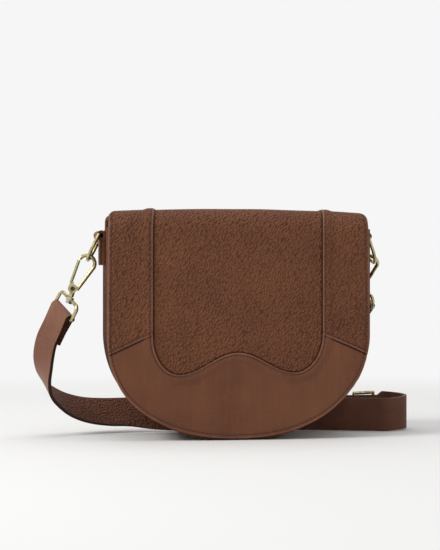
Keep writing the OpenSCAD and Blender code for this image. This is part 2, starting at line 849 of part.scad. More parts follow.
// Where the narrow end of each strap begins, clear of the frame and of the other strap's tip
long_end_x = bar_x + buckle_len + loop_wire_r + 2 * gap;
short_end_x = tip_x - 2 * strap_t;

module at_buckle() {
    translate([bar_x, bar_y, buckle_mid_h]) rotate([0, 0, frame_turn]) children();
}

module buckle_frame() {
    half_h = buckle_h / 2 - loop_wire_r;
    color("darkgoldenrod") at_buckle() {
        for (x = [0, frame_long]) translate([x, 0, 0])
            cylinder(r = loop_wire_r, h = 2 * half_h, center = true, $fn = 24);
        for (side = [-1, 1]) {
            translate([0, 0, side * half_h]) rotate([0, 90, 0])
                cylinder(r = loop_wire_r, h = frame_long, $fn = 24);
            for (x = [0, frame_long])
                translate([x, 0, side * half_h]) sphere(loop_wire_r, $fn = 24);
        }
    }
}

// Tongue: from its eye on the bar out under the strap, up through the hole and over the far bar.
// The points are measured from the bar, along the strap and out through it.
tongue_r = 1.1;
tongue_low = [8, 1.8];
tongue_high = [10.5, back_run_y - bar_y + strap_t / 2 + tongue_r];
tongue_tip = [buckle_len + tongue_r, frame_end_y - bar_y + loop_wire_r + 2 * tongue_r];

// The strap's row of holes, the tongue in one of them
hole_r = 2.2;
hole_step = 14;
hole_x = bar_x + (tongue_low[0] + tongue_high[0]) / 2;

// The point at corner i of a bent path, moved to its left by d
function left_of(v) = [-v[1], v[0]];
function beside(p, i, d) =
    let (ahead = unit(p[min(i, len(p) - 2) + 1] - p[min(i, len(p) - 2)]),
        before = unit(p[max(i, 1)] - p[max(i, 1) - 1]),
        out = unit(left_of(ahead) + left_of(before)))
    p[i] + out * d / (out * left_of(ahead));

module buckle_tongue() {
    eye = loop_wire_r + run_gap;
    path = [[0, tongue_low[1]], tongue_low, tongue_high, tongue_tip];
    steps = [0 : len(path) - 1];
    color("darkgoldenrod") translate([bar_x, bar_y, buckle_mid_h]) difference() {
        union() {
            cylinder(r = eye + tongue_r, h = 2 * tongue_r, center = true);
            translate([0, 0, -tongue_r]) linear_extrude(2 * tongue_r)
                polygon(concat([for (i = steps) beside(path, i, tongue_r)],
                    reversed([for (i = steps) beside(path, i, -tongue_r)])));
        }
        cylinder(r = eye, h = buckle_h, center = true);
    }
}

// The short strap: from the right loop down behind the bag, a hairpin, and back to the buckle.
// Columns: along by the half width, back by the back run's depth, up by the bar's height over
// the buckle's middle, then the width direction.
right_down = right_dir([0, 0, -1]);
right_wide = right_dir([1, 0, 0]);
short_drop_shares = [
    [1.085, 0.87, 0.88, 0.41, -0.66, -0.62],
    [1.080, 1.02, 0.76, 0.38, -0.65, -0.65],
    [1.070, 1.16, 0.63, 0.32, -0.61, -0.72],
    [1.035, 1.29, 0.48, 0.22, -0.53, -0.82],
    [0.96, 1.41, 0.33, 0.10, -0.40, -0.91],
    [0.84, 1.49, 0.20, 0.00, -0.28, -0.96],
    [0.69, 1.52, 0.10, 0.00, -0.15, -0.99],
    [0.53, 1.52, 0.03, 0.00, 0.00, -1.00]
];
short_up = right_bar[2] - buckle_mid_h;
short_drop = [for (q = short_drop_shares) [
    [q[0] * half_w, q[1] * back_run_y, buckle_mid_h + q[2] * short_up],
    [q[3], q[4], q[5]]]];
layer_y = back_run_y - strap_t - gap;
// The hairpin joins the last station of the drop to the layer inside the back run
pin_x_share = 0.4;
pin_y1 = short_drop_shares[len(short_drop_shares) - 1][1] * back_run_y;
pin_y0 = (pin_y1 + layer_y) / 2;
pin_r = (pin_y1 - layer_y) / 2;
pin_x0 = half_w * pin_x_share;
hairpin = [for (a = [90 : 22.5 : 270]) [
    [pin_x0 + pin_r * cos(a), pin_y0 + pin_r * sin(a), buckle_mid_h], [0, 0, -1]]];
buckle_bar = [bar_x, bar_y, buckle_mid_h];
short_run = [[[pin_x0 + pin_r, layer_y, buckle_mid_h], [0, 0, -1]],
    [[bar_x - 6 * fold_r, layer_y, buckle_mid_h], [0, 0, -1]],
    [[bar_x - 3 * fold_r, layer_y, buckle_mid_h], [0, 0, -1]],
    [[bar_x, bar_y + fold_r, buckle_mid_h], [0, 0, -1]]];

module strap_short() {
    stations = concat([fold_start(right_bar, right_wide, right_down)], short_drop, hairpin,
        short_run);
    to_buckle = with_fold(smooth(stations, 3), right_bar, right_down);
    both = reversed(with_fold(reversed(to_buckle), buckle_bar, [-1, 0, 0]));
    color("saddlebrown") difference() {
        sweep(both, strap_section());
        // Slot for the tongue in the fold
        translate([bar_x, bar_y, buckle_mid_h])
            cube([4 * fold_r, 4 * fold_r, 2 * hole_r], center = true);
        beside_end(short_end_x, bar_x + 2 * fold_r);
    }
}

// Keepers: leather bands round the two straps and the lap
keeper_wall = 1.6;
keeper_w = 8;
// How far the two keepers lie behind the buckle's bar
keeper_fixed_back = 16;
keeper_sliding_back = 30;

module keeper(x) {
    inner_h = strap_end_w + 2 * gap;
    inner_y0 = bar_y - strap_t - 2 * gap;
    inner_y1 = back_run_y + strap_t / 2 + gap;
    color("sienna") translate([x, 0, buckle_mid_h]) difference() {
        translate([0, inner_y0 - keeper_wall, -inner_h / 2 - keeper_wall])
            cube([keeper_w, inner_y1 - inner_y0 + 2 * keeper_wall, inner_h + 2 * keeper_wall]);
        translate([-over, inner_y0, -inner_h / 2])
            cube([keeper_w + 2 * over, inner_y1 - inner_y0, inner_h]);
    }
}

module keeper_fixed() {
    keeper(bar_x - keeper_fixed_back);
}

module keeper_sliding() {
    keeper(bar_x - keeper_sliding_back);
}

front_panel();
back_panel();
gusset();
lining();
slip_pocket();
front_facing();
back_facing();
front_piping();
back_piping();
flap_seam_strip();
snap_socket();
tab_left();
tab_right();
flap_base();
flap_centre_panel();
flap_side_left();
flap_side_right();
flap_lower_panel();
snap_plug();
ring_left();
ring_right();
hook_left();
hook_right();
gate_left();
gate_right();
gate_rivet_left();
gate_rivet_right();
swivel_post_left();
swivel_post_right();
strap_loop_left();
strap_loop_right();
strap_long();
strap_short();
buckle_frame();
buckle_tongue();
keeper_fixed();
keeper_sliding();
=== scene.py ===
# %% [markdown]
# # A crossbody handbag in brown leather
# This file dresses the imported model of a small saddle-shaped handbag: a round-bottomed body, a full
# front flap pieced from pebbled and smooth leather, a flat strap on two snap hooks, and old brass.
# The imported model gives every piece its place. The leather is made again here, softer and finer, and
# the metal pieces keep their shapes and get a better finish. All lengths are written in millimetres.

# %% Load the frame
import math

import bpy
from mathutils import Matrix, Vector, noise


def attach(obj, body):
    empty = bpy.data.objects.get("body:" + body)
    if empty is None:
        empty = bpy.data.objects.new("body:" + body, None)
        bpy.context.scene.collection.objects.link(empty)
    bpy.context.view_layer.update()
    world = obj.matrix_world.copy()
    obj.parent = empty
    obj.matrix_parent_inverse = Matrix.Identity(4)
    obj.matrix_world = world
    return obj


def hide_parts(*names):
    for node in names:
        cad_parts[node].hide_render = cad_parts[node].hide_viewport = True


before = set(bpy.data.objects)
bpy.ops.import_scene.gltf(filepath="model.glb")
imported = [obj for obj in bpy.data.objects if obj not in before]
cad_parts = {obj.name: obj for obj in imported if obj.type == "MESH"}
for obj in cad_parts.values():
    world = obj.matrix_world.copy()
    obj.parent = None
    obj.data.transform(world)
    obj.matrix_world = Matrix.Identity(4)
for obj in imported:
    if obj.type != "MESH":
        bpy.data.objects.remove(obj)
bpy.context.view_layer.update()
MM = 0.001
print("nodes loaded:", len(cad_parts))

# %% [markdown]
# ## The camera
# The photograph was taken from a little to the left, level with the middle of the bag, and from far
# enough away for almost straight lines. A lens of about 92 mm at 1.25 m gives the same picture. The
# frame is shifted a little, because the bag doesn't stand in the middle of the picture.

# %% Put the camera at the photograph's place
camera_place = (-174 * MM, -1238 * MM, 120 * MM)
camera_turn = (math.radians(90), 0, math.radians(-8))
bpy.ops.object.camera_add(location=camera_place, rotation=camera_turn)
camera = bpy.context.object
camera.name = "photo_camera"
camera.data.lens = 91.8
camera.data.sensor_width = 36
camera.data.shift_x = -0.026
camera.data.shift_y = 0.047
camera.data.clip_end = 20
bpy.context.scene.camera = camera
bpy.context.scene.view_settings.view_transform = "Standard"
print("camera lens", camera.data.lens, "mm")

# %% [markdown]
# ## Writing materials as sums
# A finish such as grained leather is a sum of patterns. Adding and joining each node by hand hides
# that sum, so a small class stands for one socket. Its operators add the Math nodes, and the sum can
# then be read as it would be on paper. Every other node comes from the one method of Finish.

# %% A socket that can be added and multiplied
class Amount:
    """One number or colour inside a material."""

    def __init__(self, finish, socket):
        self.finish = finish
        self.socket = socket

    def worked(self, operation, first, second):
        return self.finish.node("ShaderNodeMath", {"operation": operation}, {0: first, 1: second})

    def __add__(self, other):
        return self.worked("ADD", self, other)

    __radd__ = __add__

    def __sub__(self, other):
        return self.worked("SUBTRACT", self, other)

    def __rsub__(self, other):
        return self.worked("SUBTRACT", other, self)

    def __mul__(self, other):
        return self.worked("MULTIPLY", self, other)

    __rmul__ = __mul__


# %% A material with one method for its nodes
class Finish:
    """A material and the patterns that its colour, gloss and relief are made of."""

    def __init__(self, name, **constants):
        self.material = bpy.data.materials.new(name)
        self.material.use_nodes = True
        self.tree = self.material.node_tree
        self.surface = self.tree.nodes["Principled BSDF"]
        for socket_name, value in constants.items():
            self.surface.inputs[socket_name.replace("_", " ")].default_value = value

    def node(self, kind, settings=None, inputs=None, output=0):
        new = self.tree.nodes.new(kind)
        for key, value in (settings or {}).items():
            if key == "stops":
                self.set_stops(new.color_ramp, value)
            else:
                setattr(new, key, value)
        for key, value in (inputs or {}).items():
            if isinstance(value, Amount):
                self.tree.links.new(value.socket, new.inputs[key])
            else:
                new.inputs[key].default_value = value
        return Amount(self, new.outputs[output])

    def set_stops(self, ramp, stops):
        while len(ramp.elements) < len(stops):
            ramp.elements.new(0.5)
        for element, (place, colour) in zip(ramp.elements, stops):
            element.position = place
            element.color = colour

    def place(self):
        return self.node("ShaderNodeTexCoord", output="Object")

    def flat_place(self):
        return self.node("ShaderNodeTexCoord", output="UV")

    def turned(self, place, rotation=(0, 0, 0), scale=(1, 1, 1)):
        values = {"Vector": place, "Rotation": rotation, "Scale": scale}
        return self.node("ShaderNodeMapping", inputs=values)

    def cloud(self, place, scale, detail=2.0, output=0):
        values = {"Vector": place, "Scale": scale, "Detail": detail}
        return self.node("ShaderNodeTexNoise", inputs=values, output=output)

    def stretched(self, place, turn, length):
        """Places seen through a pattern that is turned about the depth and drawn out along its height."""
        values = {"Vector": place, "Rotation": (0, turn, 0), "Scale": (1, 1, length)}
        return self.node("ShaderNodeMapping", {"vector_type": "TEXTURE"}, values)

    def cells(self, place, scale, feature="F1", **more):
        values = {"Vector": place, "Scale": scale, **more}
        return self.node("ShaderNodeTexVoronoi", {"feature": feature}, values)

    def ramp(self, amount, stops):
        return self.node("ShaderNodeValToRGB", {"stops": stops}, {"Fac": amount})

    def moved(self, place, push):
        return self.node("ShaderNodeVectorMath", {"operation": "ADD"}, {0: place, 1: push})

    def scaled(self, vector, factor):
        return self.node("ShaderNodeVectorMath", {"operation": "SCALE"}, {0: vector, "Scale": factor})

    def colour(self, amount):
        self.tree.links.new(amount.socket, self.surface.inputs["Base Color"])

    def gloss(self, amount):
        self.tree.links.new(amount.socket, self.surface.inputs["Roughness"])

    def relief(self, height, depth):
        bump = self.node("ShaderNodeBump", inputs={"Height": height, "Distance": depth * MM})
        self.tree.links.new(bump.socket, self.surface.inputs["Normal"])


def srgb(red, green, blue):
    """A colour read off a picture, 0 to 255, as the plain light values that a socket takes."""
    def light(part):
        share = part / 255
        return share / 12.92 if share <= 0.04045 else ((share + 0.055) / 1.055) ** 2.4
    return (light(red), light(green), light(blue), 1.0)


print("materials can be written as sums now")

# %% [markdown]
# ## Pebbled leather
# Tumbled hide has soft pebbles of two to three millimetres, drawn out a little along a slant where the
# hide was pulled, with fine creases between them. Its colour hardly changes: the grain is seen because
# each pebble has a lit side. So cells whose places are pushed about by a cloud lift the surface, and
# only the creases are darker. The colour drifts slowly over the hide.

# %% Pebbled leather
def pebbled(name, dark, middle, light, pebble=560, depth=2.3, lean=0.6, length=1.4, shine=0.16):
    finish = Finish(name, Specular_IOR_Level=shine)
    place = finish.stretched(finish.place(), lean, length)
    push = finish.scaled(finish.cloud(place, 260, 2, output=1), 0.0010)
    pebbles = finish.cells(finish.moved(place, push), pebble, "SMOOTH_F1", Smoothness=0.45)
    domes = 1 - pebbles * 1.3
    wrinkles = finish.cloud(finish.stretched(finish.place(), lean, 2.6), 420, 2)
    pores = finish.cloud(finish.place(), 2600, 2)
    drift = finish.cloud(finish.place(), 24, 3)
    height = domes + wrinkles * 0.25 + pores * 0.05
    tone = domes * 0.34 + wrinkles * 0.10 + drift * 0.40 - 0.02
    finish.colour(finish.ramp(tone, [(0.10, dark), (0.42, middle), (0.80, light)]))
    finish.gloss(0.66 - domes * 0.12 + (drift - 0.5) * 0.12)
    finish.relief(height, depth)
    return finish.material


pebbled_hide = pebbled("pebbled_leather", srgb(88, 53, 37), srgb(121, 75, 51), srgb(140, 91, 64))
# The gusset is seen along its face, where a gloss would mirror the pale room, so it has almost none.
# It is the same pebbled hide as the panels, and its darker colours are painted shade for a band seen edge-on
gusset_leather = pebbled("gusset_leather", srgb(66, 37, 27), srgb(92, 54, 38), srgb(106, 65, 47),
                         depth=1.0, shine=0.03)
print("made", pebbled_hide.name, gusset_leather.name)

# %% [markdown]
# ## Smooth leather
# The lower panel, the strap, the tabs and the piping are smooth hide with a little wax in it. Pores
# are hardly seen, the tone drifts in soft clouds, and fine scuffs catch the light. A thin uneven
# gloss says leather better than any strong pattern would.

# %% Smooth leather
def smooth_hide(name, dark, middle, light, depth=0.05, rough=0.46):
    finish = Finish(name, Specular_IOR_Level=0.2)
    place = finish.place()
    drift = finish.cloud(place, 22, 4)
    grain = finish.cloud(finish.turned(place, scale=(1.0, 1.0, 0.55)), 900, 4)
    pores = finish.cells(place, 1500, "F1")
    scuffs = finish.cloud(finish.turned(place, rotation=(0, 0.3, 0), scale=(2.4, 1.0, 0.2)), 130, 3)
    tone = drift * 0.55 + grain * 0.35 + scuffs * 0.20
    finish.colour(finish.ramp(tone, [(0.36, dark), (0.55, middle), (0.74, light)]))
    finish.gloss(rough + (grain - 0.5) * 0.20 + (scuffs - 0.5) * 0.16)
    finish.relief(grain * 0.8 + pores * 0.25 + scuffs * 0.4, depth)
    return finish.material


panel_hide = smooth_hide("smooth_leather", srgb(94, 56, 38), srgb(108, 66, 45), srgb(121, 76, 53))
strap_hide = smooth_hide("strap_leather", srgb(99, 62, 45), srgb(120, 78, 59), srgb(137, 93, 72),
                         depth=0.06, rough=0.44)
piping_hide = smooth_hide("piping_leather", srgb(86, 51, 35), srgb(103, 63, 43), srgb(118, 75, 53),
                          depth=0.06, rough=0.5)
# A turned edge gets a lighter colour as a painted highlight for the light that it catches, and the groove
# beside it gets a darker colour as painted shade
edge_highlight_hide = smooth_hide("turned_edge", srgb(104, 64, 45), srgb(125, 81, 59), srgb(145, 99, 75), rough=0.42)
groove_shade_hide = smooth_hide("groove_painted_shade", srgb(58, 34, 24), srgb(70, 42, 30), srgb(82, 51, 37), rough=0.6)
backing_hide = smooth_hide("flap_backing", srgb(96, 66, 50), srgb(112, 79, 60), srgb(126, 92, 72),
                           depth=0.08, rough=0.72)
print("made the smooth hides")

# %% [markdown]
# ## The strap's inner face, its painted edges, and thread
# The strap's inner face is grained where it bends beside the left hook, and is worn smooth towards
# the buckle. Cut edges are sealed with a dark paint that lies in a soft uneven film. The sewing
# thread is waxed and twisted, a tone off the leather, and its twist is a fine slanted wave.

# %% Grained inner face, edge paint and thread
def inner_face(name, dark, middle, light):
    finish = Finish(name, Specular_IOR_Level=0.1, Roughness=0.6)
    place = finish.place()
    along = finish.node("ShaderNodeSeparateXYZ", inputs={"Vector": place})
    reach = {"Value": along, "From Min": -0.08, "From Max": 0.02, "To Min": 1.0, "To Max": 0.1}
    grained = finish.node("ShaderNodeMapRange", {"interpolation_type": "SMOOTHSTEP"}, reach)
    push = finish.scaled(finish.cloud(place, 260, 2, output=1), 0.0012)
    pebbles = finish.cells(finish.moved(place, push), 500, "SMOOTH_F1", Smoothness=0.45)
    domes = (1 - pebbles * 1.3) * grained
    drift = finish.cloud(place, 30, 3)
    fine = finish.cloud(place, 900, 3)
    tone = domes * 0.30 + drift * 0.40 + fine * 0.10
    finish.colour(finish.ramp(tone, [(0.16, dark), (0.42, middle), (0.80, light)]))
    finish.relief(domes + fine * 0.06, 1.8)
    return finish.material


strap_back = inner_face("strap_inner", srgb(90, 59, 47), srgb(121, 79, 61), srgb(150, 104, 82))


def painted_edge(name, dark, light):
    finish = Finish(name, Specular_IOR_Level=0.1)
    film = finish.cloud(finish.place(), 160, 3)
    fine = finish.cloud(finish.place(), 1500, 2)
    finish.colour(finish.ramp(film * 0.7 + fine * 0.3, [(0.3, dark), (0.7, light)]))
    finish.gloss(0.42 + (film - 0.5) * 0.3)
    finish.relief(film + fine * 0.3, 0.08)
    return finish.material


def waxed_thread(name, dark, light):
    finish = Finish(name, Specular_IOR_Level=0.4)
    slant = finish.turned(finish.place(), rotation=(0.5, 0.6, 0.4))
    settings = {"wave_type": "BANDS", "bands_direction": "DIAGONAL"}
    twist = finish.node("ShaderNodeTexWave", settings, {"Vector": slant, "Scale": 700, "Distortion": 2.0})
    finish.colour(finish.ramp(twist, [(0.2, dark), (0.8, light)]))
    finish.gloss(0.55 + twist * 0.15)
    finish.relief(twist, 0.05)
    return finish.material


edge_paint_and_seam_shade = painted_edge("edge_paint_and_seam_shade", srgb(42, 24, 16), srgb(60, 36, 25))
thread = waxed_thread("sewing_thread", srgb(66, 40, 29), srgb(104, 68, 50))
print("made edge paint and thread")

# %% [markdown]
# ## Lining cloth
# The lining is a plain cotton weave. Two sets of bands at right angles, multiplied, give threads that
# go over and under. They lie on the piece's own flat map, so the weave follows the cloth round each
# corner as real cloth does.

# %% Lining cloth
def woven(name, dark, light):
    finish = Finish(name, Specular_IOR_Level=0.2, Roughness=0.85)
    flat = finish.flat_place()
    bands = {"wave_type": "BANDS", "wave_profile": "SIN"}
    across = finish.node("ShaderNodeTexWave", dict(bands, bands_direction="X"),
                         {"Vector": flat, "Scale": 320, "Distortion": 0.6})
    along = finish.node("ShaderNodeTexWave", dict(bands, bands_direction="Y"),
                        {"Vector": flat, "Scale": 320, "Distortion": 0.6})
    slubs = finish.cloud(finish.place(), 220, 3)
    cloth = across * along
    finish.colour(finish.ramp(cloth * 0.7 + slubs * 0.4, [(0.15, dark), (0.7, light)]))
    finish.relief(cloth + slubs * 0.4, 0.12)
    return finish.material


lining_cloth = woven("lining_cloth", srgb(112, 92, 70), srgb(176, 152, 120))
print("made", lining_cloth.name)

# %% [markdown]
# ## Old brass, blackened rivets and steel
# The hooks, rings, loops and the buckle are plated an old gold that has gone brown in places. Brass
# is a metal, so its colour is all in what it mirrors: a pale yellow base with olive clouds in it, and
# a gloss that is broken where hands have worn it. The olive clouds are partly tarnish and partly a
# painted reflection: their dark tone stands in for dark surroundings that the pale room doesn't have.

# %% Metals
def aged_metal(name, worn, tarnish_and_dark_reflection, rough, spots):
    finish = Finish(name, Metallic=1.0)
    clouds = finish.cloud(finish.place(), 150, 4)
    specks = finish.cloud(finish.place(), 900, 3)
    wear_and_reflection_clouds = clouds * 0.65 + specks * 0.35
    # The dark stop is partly tarnish and partly a painted dark reflection
    finish.colour(finish.ramp(wear_and_reflection_clouds, [(spots - 0.16, tarnish_and_dark_reflection), (spots + 0.06, worn), (1.0, worn)]))
    finish.gloss(rough + (1 - clouds) * 0.14 + (specks - 0.5) * 0.12)
    finish.relief(clouds * 0.6 + specks * 0.4, 0.05)
    return finish.material


old_brass = aged_metal("antique_brass", srgb(196, 184, 138), srgb(78, 66, 40), 0.15, 0.47)
black_rivet = aged_metal("blackened_rivet", srgb(92, 84, 62), srgb(38, 33, 25), 0.34, 0.52)
plain_steel = aged_metal("steel", srgb(176, 178, 182), srgb(96, 98, 102), 0.24, 0.44)
snap_metal = aged_metal("snap_metal", srgb(190, 180, 142), srgb(104, 92, 64), 0.22, 0.42)
print("made the metals")

# %% [markdown]
# ## How every leather piece is made
# A bag is sewn from flat pieces, so each piece starts as a flat grid. Its corners are then carried to
# their places on the bag by a small rule, which is as near as code gets to wrapping leather round a
# form. Solidify gives the sheet its thickness, Bevel breaks its edges, and both are applied.

# %% Small helpers
def deselect():
    if bpy.context.object and bpy.context.object.mode != "OBJECT":
        bpy.ops.object.mode_set(mode="OBJECT")
    bpy.ops.object.select_all(action="DESELECT")


def pick(piece):
    deselect()
    piece.select_set(True)
    bpy.context.view_layer.objects.active = piece


def modify(piece, kind, **settings):
    pick(piece)
    modifier = piece.modifiers.new(kind.lower(), kind)
    for key, value in settings.items():
        setattr(modifier, key, value)
    bpy.ops.object.modifier_apply(modifier=modifier.name)


def even(start, end, steps):
    return [start + (end - start) * i / steps for i in range(steps + 1)]


def eased(amount):
    share = min(max(amount, 0.0), 1.0)
    return share * share * (3 - 2 * share)


def tidy_mesh(piece, turn_out=False):
    """Joins doubled corners, and where asked turns every face outwards."""
    pick(piece)
    bpy.ops.object.mode_set(mode="EDIT")
    bpy.ops.mesh.select_all(action="SELECT")
    bpy.ops.mesh.remove_doubles(threshold=0.01 * MM)
    bpy.ops.mesh.dissolve_degenerate(threshold=0.005 * MM)
    bpy.ops.mesh.select_all(action="SELECT")
    if turn_out:
        bpy.ops.mesh.normals_make_consistent(inside=False)
    bpy.ops.object.mode_set(mode="OBJECT")


def sheet(name, across, along, place):
    """A flat grid whose corners are carried to place(a, b), one for each pair of the two lists."""
    deselect()
    columns, rows = len(across) - 1, len(along) - 1
    bpy.ops.mesh.primitive_grid_add(x_subdivisions=columns, y_subdivisions=rows, size=1)
    piece = bpy.context.object
    piece.name = name
    for corner in piece.data.vertices:
        a = across[round((corner.co.x + 0.5) * columns)]
        b = along[round((corner.co.y + 0.5) * rows)]
        corner.co = Vector(place(a, b)) * MM
    tidy_mesh(piece)
    return piece


def give(piece, body, slot_name, *materials):
    """Puts the finishes on a finished piece, says what it rides on, and smooths its faces."""
    pick(piece)
    bpy.ops.object.shade_smooth_by_angle(angle=math.radians(42))
    # Clearing the finishes forgets which face has which, so their numbers are kept and put back
    numbers = [face.material_index for face in piece.data.polygons]
    piece.data.materials.clear()
    for material in materials:
        piece.data.materials.append(material)
    if len(materials) > 1:
        piece.data.polygons.foreach_set("material_index", numbers)
    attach(piece, body)
    print("made", piece.name, len(piece.data.polygons), "faces")


def leather(piece, thick, edge=0.45):
    """Gives a sheet its thickness behind its face, and breaks its edges."""
    modify(piece, "SOLIDIFY", thickness=thick * MM, offset=-1.0)
    modify(piece, "BEVEL", width=edge * MM, segments=2, limit_method="ANGLE",
           angle_limit=math.radians(55), use_clamp_overlap=True)


def round_cord(name, points, radius, rise=6):
    """A cord of round section along a line of points, as a closed mesh."""
    deselect()
    curve = bpy.data.curves.new(name, "CURVE")
    curve.dimensions = "3D"
    line = curve.splines.new("POLY")
    line.points.add(len(points) - 1)
    for point, place in zip(line.points, points):
        point.co = (*(Vector(place) * MM), 1)
    curve.bevel_depth = radius * MM
    curve.bevel_resolution = rise
    curve.use_fill_caps = True
    cord = bpy.data.objects.new(name, curve)
    bpy.context.collection.objects.link(cord)
    pick(cord)
    bpy.ops.object.convert(target="MESH")
    tidy_mesh(bpy.context.object, turn_out=True)
    return bpy.context.object


# %% [markdown]
# ## Sewing
# Stitches are real little pieces here, because a row of them reads at once as sewing. One stitch is a
# six-sided rod whose ends are drawn in, and it is copied along each seam with its own mesh. They lie
# in the shallow groove that the needle pulls into the leather.

# %% One stitch, and rows of it
deselect()
bpy.ops.mesh.primitive_cylinder_add(vertices=6, radius=0.30 * MM, depth=2.0 * MM, end_fill_type="NGON")
one_stitch = bpy.context.object
one_stitch.name = "one_stitch"
bpy.ops.object.mode_set(mode="EDIT")
bpy.ops.mesh.select_all(action="DESELECT")
bpy.ops.object.mode_set(mode="OBJECT")
for side in (1, -1):
    for face in one_stitch.data.polygons:
        face.select = face.normal.z * side > 0.9
    bpy.ops.object.mode_set(mode="EDIT")
    bpy.ops.mesh.extrude_region_move(TRANSFORM_OT_translate={"value": (0, 0, side * 0.4 * MM)})
    bpy.ops.transform.resize(value=(0.45, 0.45, 1))
    bpy.ops.mesh.select_all(action="DESELECT")
    bpy.ops.object.mode_set(mode="OBJECT")


def spaced(points, step):
    """Places along a line of points, one every step, each with the way that the line runs there."""
    places = []
    left = step / 2
    for start, end in zip(points, points[1:]):
        part = Vector(end) - Vector(start)
        while left <= part.length and part.length > 0:
            places.append((Vector(start) + part * (left / part.length), part.normalized()))
            left += step
        left -= part.length
    return places


def strip_finish(piece, columns, rows, finish_of):
    """Gives each face the finish number finish_of(column, row), counted along the sheet's own grid."""
    flat = piece.data.uv_layers.active.data
    for face in piece.data.polygons:
        corners = [flat[i].uv for i in face.loop_indices]
        u, v = (sum(corner[k] for corner in corners) / len(corners) for k in (0, 1))
        face.material_index = finish_of(int(u * columns), int(v * rows))


def edge_or_groove(strip, groove):
    """Finish 1, a painted highlight, on the turned edge, 2, painted shade, in the stitched groove, and 0
    further in.
    """
    if strip < 3:
        return 1
    return 2 if strip in groove else 0


def stitch_row(name, points, outward, body, step=3.6, sink=0.12):
    """Stitches along a line; outward(place) is the way that the leather faces there."""
    row = []
    for where, along in spaced(points, step):
        face = Vector(outward(where)).normalized()
        side = along.cross(face).normalized()
        turn = Matrix((side, face, along)).transposed().to_4x4()
        mesh = one_stitch.data.copy()
        mesh.transform(Matrix.Translation((where - face * sink) * MM) @ turn)
        stitch = bpy.data.objects.new(name, mesh)
        bpy.context.collection.objects.link(stitch)
        row.append(stitch)
    deselect()
    for stitch in row:
        stitch.select_set(True)
    bpy.context.view_layer.objects.active = row[0]
    bpy.ops.object.join()
    joined = bpy.context.object
    joined.name = name
    give(joined, body, "strap_leather" if body == "body" else "smooth_leather", thread)
    return joined


print("one stitch has", len(one_stitch.data.polygons), "faces")

# %% [markdown]
# ## The bag's own lines
# Seen from the front the bag is a box above and half an ellipse below, with a small flat foot. The
# flap has nearly the same line, with a fuller hem. A soft bag never stands quite straight: as in the
# photograph the flap's front hangs a little to the left, and the body's foot leans the same way.

# %% Lines of the body and the flap
half_w, half_d = 115.0, 36.0
mouth_h, belly_h, belly_b = 183.0, 91.0, 93.5
crown_h, crown_drop = 200.8, 3.2
# The flap's hem is a little fuller than an ellipse
flap_half_w, flap_b, hem_power = 114.2, 89.5, 2.2
centre_z = crown_h - (flap_half_w ** 2 + crown_drop ** 2) / (2 * crown_drop)
flap_front_y, flap_back_y = -40.2, 36.3
base_t, skin_t, centre_t = 1.5, 1.6, 1.2
flap_t = base_t + skin_t
lap_rise = centre_t
fold_front_r, fold_back_r = 18.0, 11.0
hinge_h = 175.0


def full_arc(share):
    """The other half of a rounded corner: 1 at share 0, and 0 at share 1."""
    return max(0.0, 1 - abs(share) ** hem_power) ** (1 / hem_power)


def flap_half_width(z):
    """Half the flap's width at a height: narrower at the top, with a round corner."""
    if z < belly_h:
        return flap_half_w * full_arc((belly_h - z) / flap_b)
    # The corner at the top is a quarter circle between these two heights
    low_corner, top = 193.2, 197.8
    straight = flap_half_w - 0.9 * (min(z, low_corner) - belly_h) / (low_corner - belly_h)
    if z <= low_corner:
        return straight
    rise = min((z - low_corner) / (top - low_corner), 1.0)
    return straight - (top - low_corner) * (1 - math.sqrt(1 - rise * rise))


def hang(x, z):
    """How far the flap's front hangs to the left, as photographed: most in the middle and at the hem."""
    held = eased((abs(x) - 74) / 36) * (1 - eased((58 - z) / 26))
    return -2.4 - 1.0 * eased((100 - z) / 50) + 1.5 * held


def foot_lean(z):
    """How far the body's round foot leans to the left."""
    return -3.0 * eased((85 - z) / 70)


# The flap's section from the floor up the front, over two folds and down to the sewn line
front_len = crown_h - flap_t - fold_front_r
front_fold = math.pi / 2 * fold_front_r
top_len = (flap_back_y - fold_back_r) - (flap_front_y + fold_front_r)
back_fold = math.pi / 2 * fold_back_r
flap_len = front_len + front_fold + top_len + back_fold + (crown_h - flap_t - fold_back_r - hinge_h)


def flap_section(run, out):
    """Height and depth of the flap's section, run along its inner face and out from it."""
    roof = crown_h - flap_t
    if run <= front_len:
        return run, flap_front_y - out
    run -= front_len
    if run <= front_fold:
        turn = run / fold_front_r
        far = fold_front_r + out
        return (front_len + far * math.sin(turn), flap_front_y + fold_front_r - far * math.cos(turn))
    run -= front_fold
    if run <= top_len:
        return roof + out, flap_front_y + fold_front_r + run
    run -= top_len
    if run <= back_fold:
        turn = run / fold_back_r
        far = fold_back_r + out
        return (roof - fold_back_r + far * math.cos(turn), flap_back_y - fold_back_r + far * math.sin(turn))
    return roof - fold_back_r - (run - back_fold), flap_back_y + out


def flap_point(x, run, out):
    """A point of the flap: across from its middle, along its section and out from its inner face."""
    height, depth = flap_section(run, out)
    reach = height - centre_z
    shift = hang(x, height) * (1 - eased((run - front_len) / front_fold))
    return (x + shift, depth, centre_z + math.sqrt(reach * reach - x * x))


def run_at(x, z):
    """How far along the section a height on the flap's front is."""
    return centre_z + math.sqrt((z - centre_z) ** 2 + x * x)


def run_end(x):
    return flap_len - (run_at(x, hinge_h) - hinge_h)


def flap_edge(run):
    """Half the flap's width along its section."""
    x = 108.0
    for _ in range(5):
        x = flap_half_width(flap_point(x, run, flap_t)[2])
    return x


print("the flap is", round(flap_len), "mm long from hem to hinge")

# %% [markdown]
# ## Seams of the flap
# The centre panel is pebbled. A side panel laps over each of its long edges, and the smooth lower
# panel laps over its waved hem. A lap stands one leather thickness proud, falls away over a few
# millimetres, and has a turned edge that catches the light and a line of stitches beside it.

# %% The waved seam, and how a lap and an edge are shaped
seam_x, wave_low_x = 73.8, 50.0
wave_top_h, wave_low_h = 75.4, 58.0
diagonal_slope = 0.45


